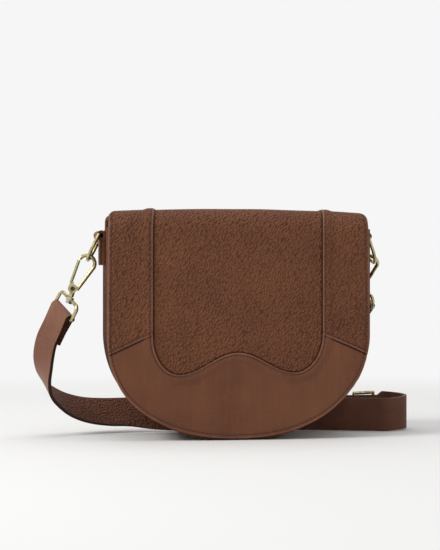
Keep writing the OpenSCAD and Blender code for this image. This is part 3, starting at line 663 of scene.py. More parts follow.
def wave_point(share):
    """A point of the waved seam, share 0 at the right upright seam and 1 at the left one."""
    side = 1 - 2 * share
    reach, bend = abs(side), 0.62
    # The left valley hangs a little lower than the right one
    low = wave_low_h - (1.4 if side < 0 else 0.0)
    if reach <= bend:
        x = wave_low_x * reach / bend
        z = (wave_top_h + low) / 2 + (wave_top_h - low) / 2 * math.cos(math.pi * x / wave_low_x)
    else:
        turn = (reach - bend) / (1 - bend) * math.pi / 2
        x = wave_low_x + (seam_x - wave_low_x) * math.sin(turn)
        z = belly_h - (belly_h - low) * math.cos(turn)
    return (x if side >= 0 else -x, z)


# Stitches run this far in from a seam or from the hem, in a groove of this width
seam_stitch_in, hem_stitch_in, groove_w = 2.5, 3.1, 0.6


def turned_edge(distance, drop, width):
    """How far a turned edge falls away, by the distance from it."""
    return drop * max(0.0, 1 - distance / width) ** 2


def stitch_groove(distance, middle, depth):
    """How deep the stitches have pulled the leather in, by the distance from its edge."""
    return depth * math.exp(-((distance - middle) / groove_w) ** 2)


def lap_height(distance):
    """How far a lapped panel stands proud, by the distance from its seam."""
    rise = lap_rise * (1 - eased((distance - 4.5) / 6.0))
    return rise - turned_edge(distance, 0.75, 1.1) - stitch_groove(distance, seam_stitch_in, 0.34)


def hem_height(distance):
    """The turned outer edge of the flap: round at the rim, with a groove for its stitches."""
    return -turned_edge(distance, 1.1, 1.7) - stitch_groove(distance, hem_stitch_in, 0.38)


def hide_waves(x, z, size=0.35):
    """Slow unevenness that all hand-cut leather has."""
    return size * noise.noise(Vector((x / 38.0, 3.7, z / 46.0)))


# A sheet gets its corners at these distances from an edge, to carry the turned rim and the groove
near_edge = [0.0, 0.3, 0.7, 1.2, 1.7, 2.1, 2.5, 2.9, 3.4, 4.1, 5.0]
lap_width = 5.0


def spread(total, steps):
    """Distances over a width, close together near both edges and even between."""
    middle = even(near_edge[-1], total - near_edge[-1], steps)[1:-1]
    return near_edge + middle + [total - d for d in reversed(near_edge)]


print("the seam's corners are at", wave_point(0), wave_point(1))

# %% [markdown]
# ## The flap's backing
# The face of the flap is sewn to a plain backing hide, which carries the snap and is seen when the
# flap is lifted. It stops a little short of the edge, because the face leather is turned round it.

# %% Flap backing
def flap_bottom(x, inset):
    """Height of the flap's lower edge above the floor, at a distance from the middle."""
    share = min(abs(x) / (flap_half_w - inset), 1.0)
    return belly_h - (flap_b - inset) * full_arc(share)


def backing_place(turn, share):
    inset = 1.5
    x = (flap_half_w - inset) * math.sin(turn)
    low = run_at(x, flap_bottom(x, inset))
    run = low + (run_end(x) - low) * share
    reach = flap_edge(run) - inset
    side = x / (flap_half_w - inset)
    if run > run_at(x, belly_h):
        x = side * reach
    return flap_point(x, run, base_t + hide_waves(x, run, 0.15))


backing_rows = even(0, 0.62, 50) + even(0.62, 1.0, 44)[1:]
flap_backing = sheet("flap_backing_hide", even(-math.pi / 2, math.pi / 2, 56), backing_rows, backing_place)
leather(flap_backing, base_t - 0.05, edge=0.3)
give(flap_backing, "flap", "flap_backing", backing_hide)
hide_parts("flap_base")

# %% [markdown]
# ## The centre panel
# This is the wide pebbled panel. It runs from under the waved seam up the front, over the top and
# down to the hinge. Its columns are spaced closely at both sides, where they follow the round ends
# of the wave.

# %% Centre panel
def centre_place(share, rise):
    x, z = wave_point(share)
    grow = lap_width * 0.8
    x += grow * x / seam_x
    z -= grow * (1 - abs(x) / (seam_x + grow))
    low = run_at(x, z)
    run = low + (run_end(x) - low) * rise
    return flap_point(x, run, base_t + centre_t + hide_waves(x, run))


centre_rows = even(0, 0.46, 40) + even(0.46, 1.0, 70)[1:]
centre_panel = sheet("flap_centre_hide", even(1, 0, 84), centre_rows, centre_place)
leather(centre_panel, centre_t - 0.05, edge=0.3)
give(centre_panel, "flap", "pebbled_leather", pebbled_hide)
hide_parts("flap_centre_panel")

# %% [markdown]
# ## The two side panels
# Each side panel is pebbled too. It laps over the centre panel along its upright seam and over the
# lower panel along the slanting one, and its outer edge is turned. One rule makes both sides, and the
# faces of the mirrored one are turned to point outwards again.

# %% Side panels
side_total = flap_half_w - seam_x
# How far out the slanting seam reaches, and what turns a height above it into a distance from it
slant_reach, slant_cosine = 0.962, 0.91
edge_zone = near_edge[-1]


def side_panel_place(distance, share, side):
    """distance runs from the seam to the edge; share runs up from the slanting seam."""
    foot_x = seam_x + distance * slant_reach
    foot_run = run_at(foot_x, belly_h - (foot_x - seam_x) * diagonal_slope)
    run = foot_run + (run_end(foot_x) - foot_run) * share
    edge = flap_edge(run)
    left = side_total - distance
    width = edge - seam_x
    if distance < side_total / 2:
        x = seam_x + distance
    else:
        x = edge - left
    squeeze = width / side_total
    if edge_zone < distance < side_total - edge_zone:
        stretch = (width - 2 * edge_zone) / (side_total - 2 * edge_zone)
        x = seam_x + edge_zone + (distance - edge_zone) * stretch
    from_foot = (run - foot_run) * slant_cosine
    out = flap_t + lap_height(x - seam_x) + hem_height(edge - x)
    out += 0.7 * (1 - eased((from_foot - 2.5) / 5.0)) - turned_edge(from_foot, 0.5, 1.1)
    out -= stitch_groove(from_foot, seam_stitch_in, 0.3)
    return flap_point(x * side, run, out + hide_waves(x * side, run) * squeeze)


side_len = 200.0
side_rows = [d / side_len for d in near_edge] + even(edge_zone / side_len, 1.0, 84)[1:]
side_columns = spread(side_total, 22)
last_strip = len(side_columns) - 2
for side, name in ((-1, "left"), (1, "right")):
    columns = side_columns[::-1] if side < 0 else side_columns
    side_panel = sheet("flap_side_hide_" + name, columns, side_rows,
                       lambda distance, share, side=side: side_panel_place(distance, share, side))
    leather(side_panel, skin_t - 0.1, edge=0.35)
    # The second and third finishes are a painted highlight on the turned edges and painted shade in the
    # stitched grooves
    give(side_panel, "flap", "pebbled_leather", pebbled_hide, edge_highlight_hide, groove_shade_hide)

    def side_finish(column, row, side=side):
        from_seam = column if side > 0 else last_strip - column
        return max(edge_or_groove(from_seam, (5, 6)), edge_or_groove(last_strip - from_seam, (6, 7)),
                   edge_or_groove(row, (5, 6)))
    strip_finish(side_panel, last_strip + 1, len(side_rows) - 1, side_finish)
    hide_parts("flap_side_" + name)

# %% [markdown]
# ## The smooth lower panel
# The lower panel fills the space between the waved seam and the round hem. It has four sides: the
# wave, the hem and the two slanting seams, whose edges pass under the side panels. Points between
# the four sides are mixed from them, and the rows crowd together at the seam and at the hem.

# %% Lower panel
slant_foot_x = 112.8
slant_foot_z = belly_h - (slant_foot_x - seam_x) * diagonal_slope


def hem_point(share):
    """A point of the flap's hem, from the right slanting seam round to the left one."""
    bow = 2 / hem_power
    start = math.asin(((belly_h - slant_foot_z) / flap_b) ** (1 / bow))
    turn = start + (math.pi - 2 * start) * share
    wide = math.copysign(abs(math.cos(turn)) ** bow, math.cos(turn))
    return (flap_half_w * wide, belly_h - flap_b * math.sin(turn) ** bow)


def between(first, second, share):
    return tuple(a + (b - a) * share for a, b in zip(first, second))


def lower_flat(share, down):
    """A point of the lower panel seen from the front."""
    top, hem = wave_point(share), hem_point(share)
    right = between(wave_point(0), hem_point(0), down)
    left = between(wave_point(1), hem_point(1), down)
    ends = between(right, left, share)
    corner_top = between(wave_point(0), wave_point(1), share)
    corner_hem = between(hem_point(0), hem_point(1), share)
    rails = between(top, hem, down)
    corners = between(corner_top, corner_hem, down)
    return tuple(r + e - c for r, e, c in zip(rails, ends, corners))


wave_line = [wave_point(share) for share in even(0, 1, 160)]
hem_line = [hem_point(share) for share in even(0, 1, 160)]


def nearest(point, line):
    return min(math.dist(point, other) for other in line)


def lower_place(share, step):
    """step counts the rows: the first and last few are near_edge apart, the rest are even."""
    top, hem = lower_flat(share, 0), lower_flat(share, 1)
    length = math.dist(top, hem)
    near = len(near_edge)
    rows = lower_rows
    if step < near:
        down = near_edge[step] / length
    elif step >= rows - near:
        down = 1 - near_edge[rows - 1 - step] / length
    else:
        first, last = near_edge[-1] / length, 1 - near_edge[-1] / length
        down = first + (last - first) * (step - near + 1) / (rows - 2 * near + 1)
    x, z = lower_flat(share, down)
    slant = (z - (belly_h - (abs(x) - seam_x) * diagonal_slope)) * slant_cosine
    tuck = 1.1 * eased((slant + 3.0) / 3.0) if abs(x) > seam_x + 1.5 else 0.0
    out = flap_t + lap_height(nearest((x, z), wave_line)) + hem_height(nearest((x, z), hem_line))
    # Under the slanting seams the panel runs on below the side panel
    lift = 4.0 * eased((slant + 0.6) / 0.6) if abs(x) > seam_x + 1.5 else 0.0
    return (x + hang(x, z), flap_front_y - out + tuck - hide_waves(x, z), z + lift)


lower_rows = 44
lower_panel = sheet("flap_lower_hide", even(1, 0, 130), list(range(lower_rows - 1, -1, -1)), lower_place)
leather(lower_panel, skin_t - 0.1, edge=0.35)
# The second and third finishes are a painted highlight on the turned edges and painted shade in the stitched
# grooves
give(lower_panel, "flap", "smooth_leather", panel_hide, edge_highlight_hide, groove_shade_hide)
top_strip = lower_rows - 2
strip_finish(lower_panel, 130, lower_rows - 1,
             lambda column, row: max(edge_or_groove(top_strip - row, (5, 6)), edge_or_groove(row, (6, 7))))
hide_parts("flap_lower_panel")

# %% [markdown]
# ## The flap's stitching
# One row follows each upright seam and the wave, and one follows the whole outer edge. Each row lies
# in the groove that was shaped for it.

# %% Rows of stitches on the flap
def forwards(where):
    """The way that the flap faces at a place on its front, its folds or its top."""
    if where.z < front_len - 4:
        return (0, -1, 0)
    centre_y = flap_front_y + fold_front_r
    if where.y < centre_y:
        return (0, where.y - centre_y, max(where.z - front_len + 6, 0.1))
    return (0, 0, 1) if where.y < flap_back_y - fold_back_r else (0, 1, 0.3)


def seam_stitch_line(side, inset, start_run, end_run):
    runs = even(start_run, end_run, 90)
    return [flap_point(side * (seam_x + inset), run, flap_t + lap_rise - 0.2) for run in runs]


def edge_stitch_line(side, inset, start_run, end_run):
    runs = even(start_run, end_run, 120)
    return [flap_point(side * (flap_edge(run) - inset), run, flap_t - 0.2) for run in runs]


def let_in(line, inset):
    """The flat line moved sideways by inset, to the right of the way that it runs."""
    moved = []
    for i, (x, z) in enumerate(line):
        before, after = line[max(i - 1, 0)], line[min(i + 1, len(line) - 1)]
        dx, dz = after[0] - before[0], after[1] - before[1]
        length = math.hypot(dx, dz)
        moved.append((x + dz / length * inset, z - dx / length * inset))
    return moved


slant_run = run_at(slant_foot_x, slant_foot_z)
for side, name in ((-1, "left"), (1, "right")):
    seam_line = seam_stitch_line(side, seam_stitch_in, belly_h + 4, flap_len - 8)
    stitch_row("seam_stitches_" + name, seam_line, forwards, "flap")
    edge_line = edge_stitch_line(side, hem_stitch_in, slant_run + 5, flap_len - 10)
    stitch_row("edge_stitches_" + name, edge_line, forwards, "flap")


def on_front(line, out):
    """A flat line carried to the flap's front, out from its inner face."""
    return [(x + hang(x, z), flap_front_y - out, z) for x, z in line]


wave_stitches = on_front(let_in(wave_line, -seam_stitch_in), flap_t + lap_rise - 0.2)
stitch_row("wave_stitches", wave_stitches, forwards, "flap")
hem_stitches = on_front(let_in(hem_line, hem_stitch_in), flap_t - 0.2)
stitch_row("hem_stitches", hem_stitches, forwards, "flap")

# %% [markdown]
# ## Painted edges and painted shade at the laps
# Where one hide laps over another its cut edge is sealed with dark paint, which stands beside the seam
# as a fine bead. The bead also stands in for the shade in the groove beside the seam, so the dark line
# that it draws along each seam is partly edge paint and partly painted shade.

# %% Beads of edge paint and painted shade
bead_out = base_t + centre_t + 0.25
beads = {"wave_bead": on_front(let_in(wave_line, 0.5), bead_out)}
for side, name in ((-1, "left"), (1, "right")):
    beads["seam_bead_" + name] = [flap_point(side * (seam_x - 0.55), run, bead_out)
                                  for run in even(belly_h - 1, flap_len - 4, 160)]
    slant = [(side * x, belly_h - (x - seam_x) * diagonal_slope - 0.5)
             for x in even(seam_x + 1, slant_foot_x - 1, 40)]
    beads["slant_bead_" + name] = on_front(slant, flap_t - 0.35)
for name, line in beads.items():
    # Each bead is partly dark edge paint and partly painted shade for the groove beside the seam
    bead = round_cord(name, line, 0.6, 2)
    give(bead, "flap", "smooth_leather", edge_paint_and_seam_shade)

# %% [markdown]
# ## The body
# Two flat panels are sewn to one long band, the gusset, which runs down one side, under the foot and
# up the other. The panels swell a little, as filled bags do, and the band dips between its two lines
# of piping. The front panel stays flat round the snap, and the band stays flat under the tabs.

# %% Front and back panels
snap_h = 50.0
panel_inset, panel_low = 2.8, 3.4


def panel_swell(x, z, size, flat_at_snap):
    share = 1 - min(math.hypot(x / 104.0, (z - 100.0) / 92.0), 1.0)
    swell = size * eased(share * 1.6)
    if flat_at_snap:
        swell *= eased((math.hypot(x, z - snap_h) - 11.0) / 26.0)
    return swell + hide_waves(x, z, 0.3) * eased(share * 4)


def panel_place(turn, share, side):
    low_half = half_w - panel_inset
    x = low_half * math.sin(turn)
    bottom = max(belly_h - (belly_b - panel_inset) * math.cos(turn), panel_low)
    top = 182.8 if side < 0 else 181.0
    z = bottom + (top - bottom) * share
    swell = panel_swell(x, z, 2.0 if side < 0 else 3.0, side < 0)
    return (x + foot_lean(z), side * (half_d + swell), z)


panel_turns = even(-math.pi / 2, math.pi / 2, 60)
for side, name in ((-1, "front_panel"), (1, "back_panel")):
    turns = panel_turns if side < 0 else panel_turns[::-1]
    panel = sheet(name + "_hide", turns, even(0, 1, 56),
                  lambda turn, share, side=side: panel_place(turn, share, side))
    leather(panel, 1.9, edge=0.5)
    give(panel, "body", "pebbled_leather", pebbled_hide)
    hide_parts(name)

# %% Gusset
def outline_walk(inset, low):
    """The body's outline as points, from the right end of the mouth round to the left end."""
    side_wall = [(half_w - inset, z) for z in even(mouth_h - 0.2, belly_h, 22)[:-1]]
    arc = []
    for turn in even(0, math.pi, 96):
        z = belly_h - (belly_b - inset) * math.sin(turn)
        arc.append(((half_w - inset) * math.cos(turn), max(z, low)))
    return side_wall + arc + [(-x, z) for x, z in reversed(side_wall)]


def way_in(points, i):
    before, after = points[max(i - 1, 0)], points[min(i + 1, len(points) - 1)]
    dx, dz = after[0] - before[0], after[1] - before[1]
    length = math.hypot(dx, dz) or 1.0
    return (dz / length, -dx / length)


def side_dip(y, z):
    """How far the band dips inwards between its pipings, at a height."""
    across = 1 - (y / 34.0) ** 2
    under_tab = 1 - eased((z - 128.0) / 20.0)
    low = eased((z - 8.0) / 45.0)
    return max(across, 0) * under_tab * low * 2.4


def band_point(line, i, dip):
    """Point i of a band's line, leaned with the foot and moved in by dip towards the bag's middle."""
    x, z = line[i]
    in_x, in_z = way_in(line, i)
    sign = 1 if (in_x * -x + in_z * (100 - z)) > 0 else -1
    return (x + foot_lean(z) + sign * in_x * dip, z + sign * in_z * dip)


gusset_line = outline_walk(0.0, 0.0)


def gusset_place(y, i):
    x, z = band_point(gusset_line, i, side_dip(y, gusset_line[i][1]))
    return (x, y, z)


gusset = sheet("gusset_hide", even(34.6, -34.6, 26), list(range(len(gusset_line))), gusset_place)
leather(gusset, 1.9, edge=0.4)
give(gusset, "body", "pebbled_leather", gusset_leather)
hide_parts("gusset")

# %% [markdown]
# ## Lining, slip pocket and facings
# Inside, a cotton lining hangs in the leather body. It is cut as two panels and a band too. A slip
# pocket of the same cloth is sewn to its back, and a strip of leather faces each side of the mouth.

# %% Lining
lining_in, lining_low, lining_top = 3.5, 3.2, 182.4
wall_y = half_d - 2.0 - 0.3 - 0.9
lining_line = outline_walk(lining_in, lining_low)


def lining_band_place(y, i):
    x, z = lining_line[i]
    dip = side_dip(y, z) + 0.25 * noise.noise(Vector((x / 20, y / 14, z / 20)))
    x, z = band_point(lining_line, i, dip)
    return (x, y, min(z, lining_top))


def lining_panel_place(turn, share, side):
    x = (half_w - lining_in) * math.sin(turn)
    bottom = max(belly_h - (belly_b - lining_in) * math.cos(turn), lining_low)
    z = bottom + (lining_top - bottom) * share
    slack = 0.35 * noise.noise(Vector((x / 22, side * 5.0, z / 30)))
    return (x + foot_lean(z), side * (wall_y - abs(slack)), z)


def in_metres(piece, width, height):
    """Sets a piece's flat map to real lengths, so that a weave keeps its scale."""
    for corner in piece.data.uv_layers.active.data:
        corner.uv = (corner.uv[0] * width * MM, corner.uv[1] * height * MM)


lining_parts = []
band = sheet("lining_band", even(32.6, -32.6, 20), list(range(len(lining_line))), lining_band_place)
in_metres(band, 65, 520)
lining_parts.append(band)
for side in (-1, 1):
    turns = panel_turns[::-1] if side < 0 else panel_turns
    part = sheet("lining_panel", turns, even(0, 1, 40),
                 lambda turn, share, side=side: lining_panel_place(turn, share, side))
    in_metres(part, 230, 180)
    lining_parts.append(part)
for part in lining_parts:
    modify(part, "SOLIDIFY", thickness=0.7 * MM, offset=-1.0)
deselect()
for part in lining_parts:
    part.select_set(True)
bpy.context.view_layer.objects.active = lining_parts[0]
bpy.ops.object.join()
lining = bpy.context.object
lining.name = "lining_cloth_bag"
give(lining, "body", "lining_cloth", lining_cloth)
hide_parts("lining")

# %% Slip pocket and facings
pocket_w, pocket_h, pocket_low = 130.0, 92.0, 54.6


def pocket_place(x, z):
    side = 1 - (abs(x) / (pocket_w / 2)) ** 4
    slack = 1.3 * side * eased((z - pocket_low) / 20)
    return (x, wall_y - 0.8 - slack - 0.15 * noise.noise(Vector((x / 14, 2.0, z / 14))), z)


pocket = sheet("slip_pocket_cloth", even(-pocket_w / 2 + 0.3, pocket_w / 2 - 0.3, 44),
               even(pocket_low + 0.3, pocket_low + pocket_h - 0.3, 36), pocket_place)
in_metres(pocket, pocket_w, pocket_h)
modify(pocket, "SOLIDIFY", thickness=0.6 * MM, offset=-1.0)
give(pocket, "body", "lining_cloth", lining_cloth)
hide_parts("slip_pocket")


def pocket_hem_place(x, turn):
    """The hem is a flat tube of leather round the pocket's upper edge."""
    top = pocket_low + pocket_h
    return (x, pocket_place(x, top)[1] + 0.3 + 0.7 * math.sin(turn), top - 3.2 + 2.9 * math.cos(turn))


pocket_hem = sheet("pocket_hem", even(-pocket_w / 2 + 0.3, pocket_w / 2 - 0.3, 44),
                   even(0, 2 * math.pi, 12), pocket_hem_place)
tidy_mesh(pocket_hem, turn_out=True)
give(pocket_hem, "body", "smooth_leather", backing_hide)

facing_w = 2 * (half_w - 2.0 - 0.9 - 0.9)
for side, name in ((-1, "front_facing"), (1, "back_facing")):
    low, high = mouth_h - 24.3, mouth_h - 0.3
    y = side * (wall_y - 0.95)
    # The strip faces into the bag
    widths = even(facing_w / 2, -facing_w / 2, 60) if side < 0 else even(-facing_w / 2, facing_w / 2, 60)
    facing = sheet(name + "_strip", widths, even(low, high, 12),
                   lambda x, z, y=y: (x, y - hide_waves(x, z, 0.1), z))
    leather(facing, 0.8, edge=0.3)
    give(facing, "body", "smooth_leather", panel_hide)
    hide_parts(name)

# %% [markdown]
# ## Piping
# A cord covered in thin leather is sewn into each seam between a panel and the gusset. A curve given
# a round bevel is the plain way to make it. It is turned into a mesh before it is finished.

# %% Piping
piping_r = 1.4
for side, name in ((-1, "front_piping"), (1, "back_piping")):
    line = outline_walk(piping_r - 0.15, piping_r + 0.3)
    cord = round_cord(name + "_cord", [(x + foot_lean(z), side * half_d, z) for x, z in line], piping_r)
    give(cord, "body", "piping_leather", piping_hide)
    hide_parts(name)

# %% [markdown]
# ## The strip behind the hinge
# The flap grows out of a strip that is sewn across the top of the back panel. One row of stitches
# runs down its sides and along its foot.

# %% Seam strip
strip_w, strip_low, strip_top = 209.0, 150.7, 174.7
strip_stitch_in = 2.6


def strip_place(x, z):
    from_edge = min(strip_w / 2 - abs(x), z - strip_low)
    out = flap_t - turned_edge(from_edge, 0.8, 1.5) - stitch_groove(from_edge, strip_stitch_in, 0.3)
    return (x, half_d + out + hide_waves(x, z, 0.15), z)


strip = sheet("flap_seam_hide", [x - strip_w / 2 for x in spread(strip_w, 60)][::-1],
              [strip_low + d for d in near_edge] + even(strip_low + 5, strip_top, 16)[1:], strip_place)
leather(strip, 2.8, edge=0.4)
give(strip, "body", "smooth_leather", panel_hide)
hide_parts("flap_seam_strip")
reach, stitch_y = strip_w / 2 - strip_stitch_in, half_d + flap_t - 0.1
strip_line = [(x, stitch_y, z) for x, z in (
    (-reach, strip_top - 4), (-reach, strip_low + strip_stitch_in),
    (reach, strip_low + strip_stitch_in), (reach, strip_top - 4))]
stitch_row("strip_stitches", strip_line, lambda where: (0, 1, 0), "body")

# %% [markdown]
# ## The tabs that hold the rings
# Each tab is one strip of leather. It goes up the gusset, round the ring's straight bar and down
# again, and its two layers are sewn together below the bar.

# %% Tabs
tab_w, tab_h, tab_hide = 17.0, 177.3, 2.7
tab_curl, tab_out, outer_layer = 3.03, 4.48, 4.05
tab_axis_x = half_w + tab_out
tab_low = tab_h - 25.8
# Heights and half the width of the box of stitches
box_low, box_high, box_half = 153.6, 166.0, 6.2
ring_yaw_left = 8
left_yaw = math.radians(-ring_yaw_left)


def tab_line():
    """The middle of the tab's thickness, out from the gusset and up, from end to end."""
    up = [(1.5, z) for z in even(tab_low, tab_h - 1.0, 18)]
    round_bar = [(tab_out - tab_curl * math.cos(turn), tab_h + tab_curl * math.sin(turn))
                 for turn in even(0, math.pi * 0.92, 18)]
    end_out, end_h = round_bar[-1]
    down = [(end_out + (outer_layer - end_out) * eased(share * 3.2), end_h - (end_h - tab_low) * share)
            for share in even(0, 1, 16)[1:]]
    return up + round_bar + down


tab_points = tab_line()


def tab_place(y, i, side):
    out, z = tab_points[i]
    from_edge = tab_w / 2 - abs(y)
    thin = 0.0 if from_edge > 1.0 else 0.25 * (1 - from_edge)
    x = half_w + out - (thin if i > len(tab_points) / 2 else 0)
    if side < 0:
        # The left ring is turned about the upright, and the curl turns with it
        turn = left_yaw * eased((z - 168.0) / 8.0)
        dx, dy = x - tab_axis_x, y
        x = tab_axis_x + dx * math.cos(turn) - dy * math.sin(turn)
        y = dx * math.sin(turn) + dy * math.cos(turn)
    return (x * side, y, z)


for side, name in ((-1, "left"), (1, "right")):
    widths = even(tab_w / 2, -tab_w / 2, 16) if side > 0 else even(-tab_w / 2, tab_w / 2, 16)
    tab = sheet("tab_hide_" + name, widths, list(range(len(tab_points))),
                lambda y, i, side=side: tab_place(y, i, side))
    modify(tab, "SOLIDIFY", thickness=tab_hide * MM, offset=0.0, use_even_offset=True)
    modify(tab, "BEVEL", width=0.5 * MM, segments=2, limit_method="ANGLE", angle_limit=math.radians(60))
    tidy_mesh(tab, turn_out=True)
    give(tab, "body", "smooth_leather", panel_hide)
    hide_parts("tab_" + name)
    face_x = half_w + outer_layer + tab_hide / 2 + 0.05
    corners = [(box_half, box_high), (box_half, box_low), (-box_half, box_low), (-box_half, box_high)]
    box = [(side * face_x, y, z) for y, z in corners + corners[:1]]
    stitch_row("tab_stitches_" + name, box, lambda where, side=side: (side, 0, 0), "body", step=3.2)

# %% [markdown]
# ## Where the strap goes
# The strap hangs from the left hook, bends down to the floor, runs on its edge behind the bag, turns
# round on the right and comes back to the buckle. A shorter piece comes down from the right hook to
# meet it. The route is written as stations: a middle point, and the way the strap's width points.
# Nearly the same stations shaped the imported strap. The bend on the left and the turn on the right
# were moved a few millimetres here, to where the photograph shows them.

# %% Turns and the places of the two hooks
def turn_x(point, angle):
    return Matrix.Rotation(math.radians(angle), 3, "X") @ Vector(point)


def turn_y(point, angle):
    return Matrix.Rotation(math.radians(angle), 3, "Y") @ Vector(point)


def turn_z(point, angle):
    return Matrix.Rotation(math.radians(angle), 3, "Z") @ Vector(point)


ring_len, ring_half_w = 24.0, 12.0
bow_x, seat_h = 3.25, 37.0
seat_room_left, seat_room_right = 0.6, 0.9
loop_low = -15.0
strap_w, strap_t, fold_r = 30.0, 3.0, 3.4
end_w = 22.0
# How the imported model's rings, hooks and loops are turned, in degrees
ring_swing_left, ring_swing_right = 26.2, 19
hook_lean_left, hook_lean_right = 19.6, 6
hook_seat_right, hook_yaw_right = 45, -34
loop_turn_left, loop_turn_right, loop_tilt_left = 57, -70, 15


def left_way(point):
    """A direction in the left loop's own frame, as it points on the bag."""
    turned = turn_z(turn_z(turn_y(point, loop_tilt_left), -loop_turn_left), ring_yaw_left)
    turned = turn_y(turned, hook_lean_left - ring_swing_left)
    return turn_z(turn_y(turned, ring_swing_left), -ring_yaw_left)


def right_way(point):
    return turn_y(turn_x(turn_z(point, loop_turn_right), hook_seat_right), -hook_lean_right)


left_ring_drop = turn_z(turn_y((0, 0, -ring_len), ring_swing_left), -ring_yaw_left)
left_hook_drop = turn_z((-bow_x, 0, seat_room_left - seat_h), ring_yaw_left)
left_hook_drop = turn_z(turn_y(left_hook_drop, hook_lean_left), -ring_yaw_left)
left_swivel = Vector((-tab_axis_x, 0, tab_h)) + left_ring_drop + left_hook_drop
left_bar = left_swivel + left_way((0, 0, loop_low))
right_ring_drop = Vector((0, 0, ring_half_w - ring_len)) + turn_x((0, 0, -ring_half_w), hook_seat_right)
right_ring_drop = turn_y(right_ring_drop, -ring_swing_right)
right_hook_drop = turn_z((-bow_x, 0, seat_room_right - seat_h), hook_yaw_right)
right_hook_drop = turn_y(turn_x(right_hook_drop, hook_seat_right), -hook_lean_right)
right_swivel = Vector((tab_axis_x, 0, tab_h)) + right_ring_drop + right_hook_drop
right_bar = right_swivel + right_way((0, 0, loop_low))
print("bars of the loops:", [round(v, 1) for v in left_bar], [round(v, 1) for v in right_bar])

# %% Stations of the long strap
floor_gap = 0.3
strap_mid_h = strap_w / 2 + floor_gap
buckle_mid_h = strap_mid_h + 4
run_y, back_run_y = 44.0, 70.0
# Out beyond the side by the bar's distance, back by the run's depth, up by the bar's height over the
# strap that stands on its edge, and then the way that the strap's width points
left_bend_shares = [
    (1.22, 0.20, 0.87, -0.44, 0.80, 0.40), (1.37, 0.22, 0.74, -0.50, 0.82, 0.28),
    (1.44, 0.24, 0.61, -0.52, 0.83, 0.17), (1.45, 0.27, 0.49, -0.45, 0.87, 0.19),
    (1.415, 0.32, 0.37, -0.28, 0.92, 0.26), (1.32, 0.41, 0.27, -0.15, 0.93, 0.33),
    (1.12, 0.56, 0.19, -0.12, 0.89, 0.45), (0.82, 0.74, 0.115, -0.11, 0.81, 0.57),
    (0.40, 0.92, 0.06, -0.07, 0.75, 0.66), (-0.12, 1.06, 0.035, 0.00, 0.68, 0.74),
    (-0.80, 1.15, 0.028, 0.00, 0.57, 0.82)]
floor_run_shares = [(-0.40, 1.16), (-0.05, 1.13), (0.30, 1.06), (0.55, 0.99), (0.78, 0.90),
                    (0.98, 0.74), (1.14, 0.60)]
upright_way = Vector((0, 0, 1))


def station(middle, wide):
    return (Vector(middle), Vector(wide))


def across_only(wide, along):
    """The part of a width direction that is square to the way the strap runs."""
    return (wide - along * wide.dot(along)).normalized()


def bar_out(wide, down):
    return wide.cross(across_only(down, wide)).normalized()


left_down = Vector((-0.62, 0.137, -0.78)).normalized()
left_wide = -left_way((1, 0, 0))
bar_reach, bar_up = -left_bar.x - half_w, left_bar.z - strap_mid_h
long_stations = [station(left_bar + bar_out(left_wide, left_down) * fold_r, left_wide)]
for out, back, up, *wide in left_bend_shares:
    middle = (-half_w - out * bar_reach, back * run_y, strap_mid_h + up * bar_up)
    long_stations.append(station(middle, wide))
for along, back in floor_run_shares:
    long_stations.append(station((along * half_w, back * run_y, strap_mid_h), upright_way))
# Lengths along the strap: the buckle, the end past its hole, and from hole to hole
buckle_len, tip_len, hole_step = 21, 46, 14
turn_r, buckle_x = 24.0, half_w + 19
turn_centre = (half_w + 28.8, back_run_y - turn_r)
for step in range(9):
    angle = math.radians(-90 + 22.5 * step)
    rise = (buckle_mid_h - strap_mid_h) * step / 8
    middle = (turn_centre[0] + turn_r * math.cos(angle), turn_centre[1] + turn_r * math.sin(angle),
              strap_mid_h + rise)
    long_stations.append(station(middle, upright_way))
for x in (buckle_x, buckle_x - tip_len):
    long_stations.append(station((x, back_run_y, buckle_mid_h), upright_way))
print("the long strap has", len(long_stations), "stations")

# %% Stations of the short strap
right_down, right_wide = right_way((0, 0, -1)), right_way((1, 0, 0))
short_drop_shares = [
    (1.085, 0.87, 0.88, 0.41, -0.66, -0.62), (1.080, 1.02, 0.76, 0.38, -0.65, -0.65),
    (1.070, 1.16, 0.63, 0.32, -0.61, -0.72), (1.035, 1.29, 0.48, 0.22, -0.53, -0.82),
    (0.96, 1.41, 0.33, 0.10, -0.40, -0.91), (0.84, 1.49, 0.20, 0.00, -0.28, -0.96),
    (0.69, 1.52, 0.10, 0.00, -0.15, -0.99), (0.53, 1.52, 0.03, 0.00, 0.00, -1.00)]
short_up = right_bar.z - buckle_mid_h
short_stations = [station(right_bar + bar_out(right_wide, right_down) * fold_r, right_wide)]
for along, back, up, *wide in short_drop_shares:
    middle = (along * half_w, back * back_run_y, buckle_mid_h + up * short_up)
    short_stations.append(station(middle, wide))
layer_y = back_run_y - strap_t - 0.3
# The strap turns back on itself here, in half a circle
outer_y = 1.52 * back_run_y
pin_x, pin_y, pin_r = half_w * 0.4, (outer_y + layer_y) / 2, (outer_y - layer_y) / 2
for step in range(9):
    angle = math.radians(90 + 22.5 * step)
    middle = (pin_x + pin_r * math.cos(angle), pin_y + pin_r * math.sin(angle), buckle_mid_h)
    short_stations.append(station(middle, -upright_way))
bar_y = back_run_y - strap_t - fold_r - 0.3
bar_x = buckle_x - buckle_len / 2
for x, y in ((pin_x + pin_r, layer_y), (bar_x - 6 * fold_r, layer_y), (bar_x - 3 * fold_r, layer_y),
             (bar_x, bar_y + fold_r)):
    short_stations.append(station((x, y, buckle_mid_h), -upright_way))
print("the short strap has", len(short_stations), "stations")

# %% [markdown]
# ## The strap itself
# A smooth curve is drawn through the stations, the end is folded round its bar and sewn back on
# itself, and a sheet is carried along the whole way. Its face is waxed and smooth, its back shows
# short grain, and its cut edges are painted dark, so the three sides get three finishes.

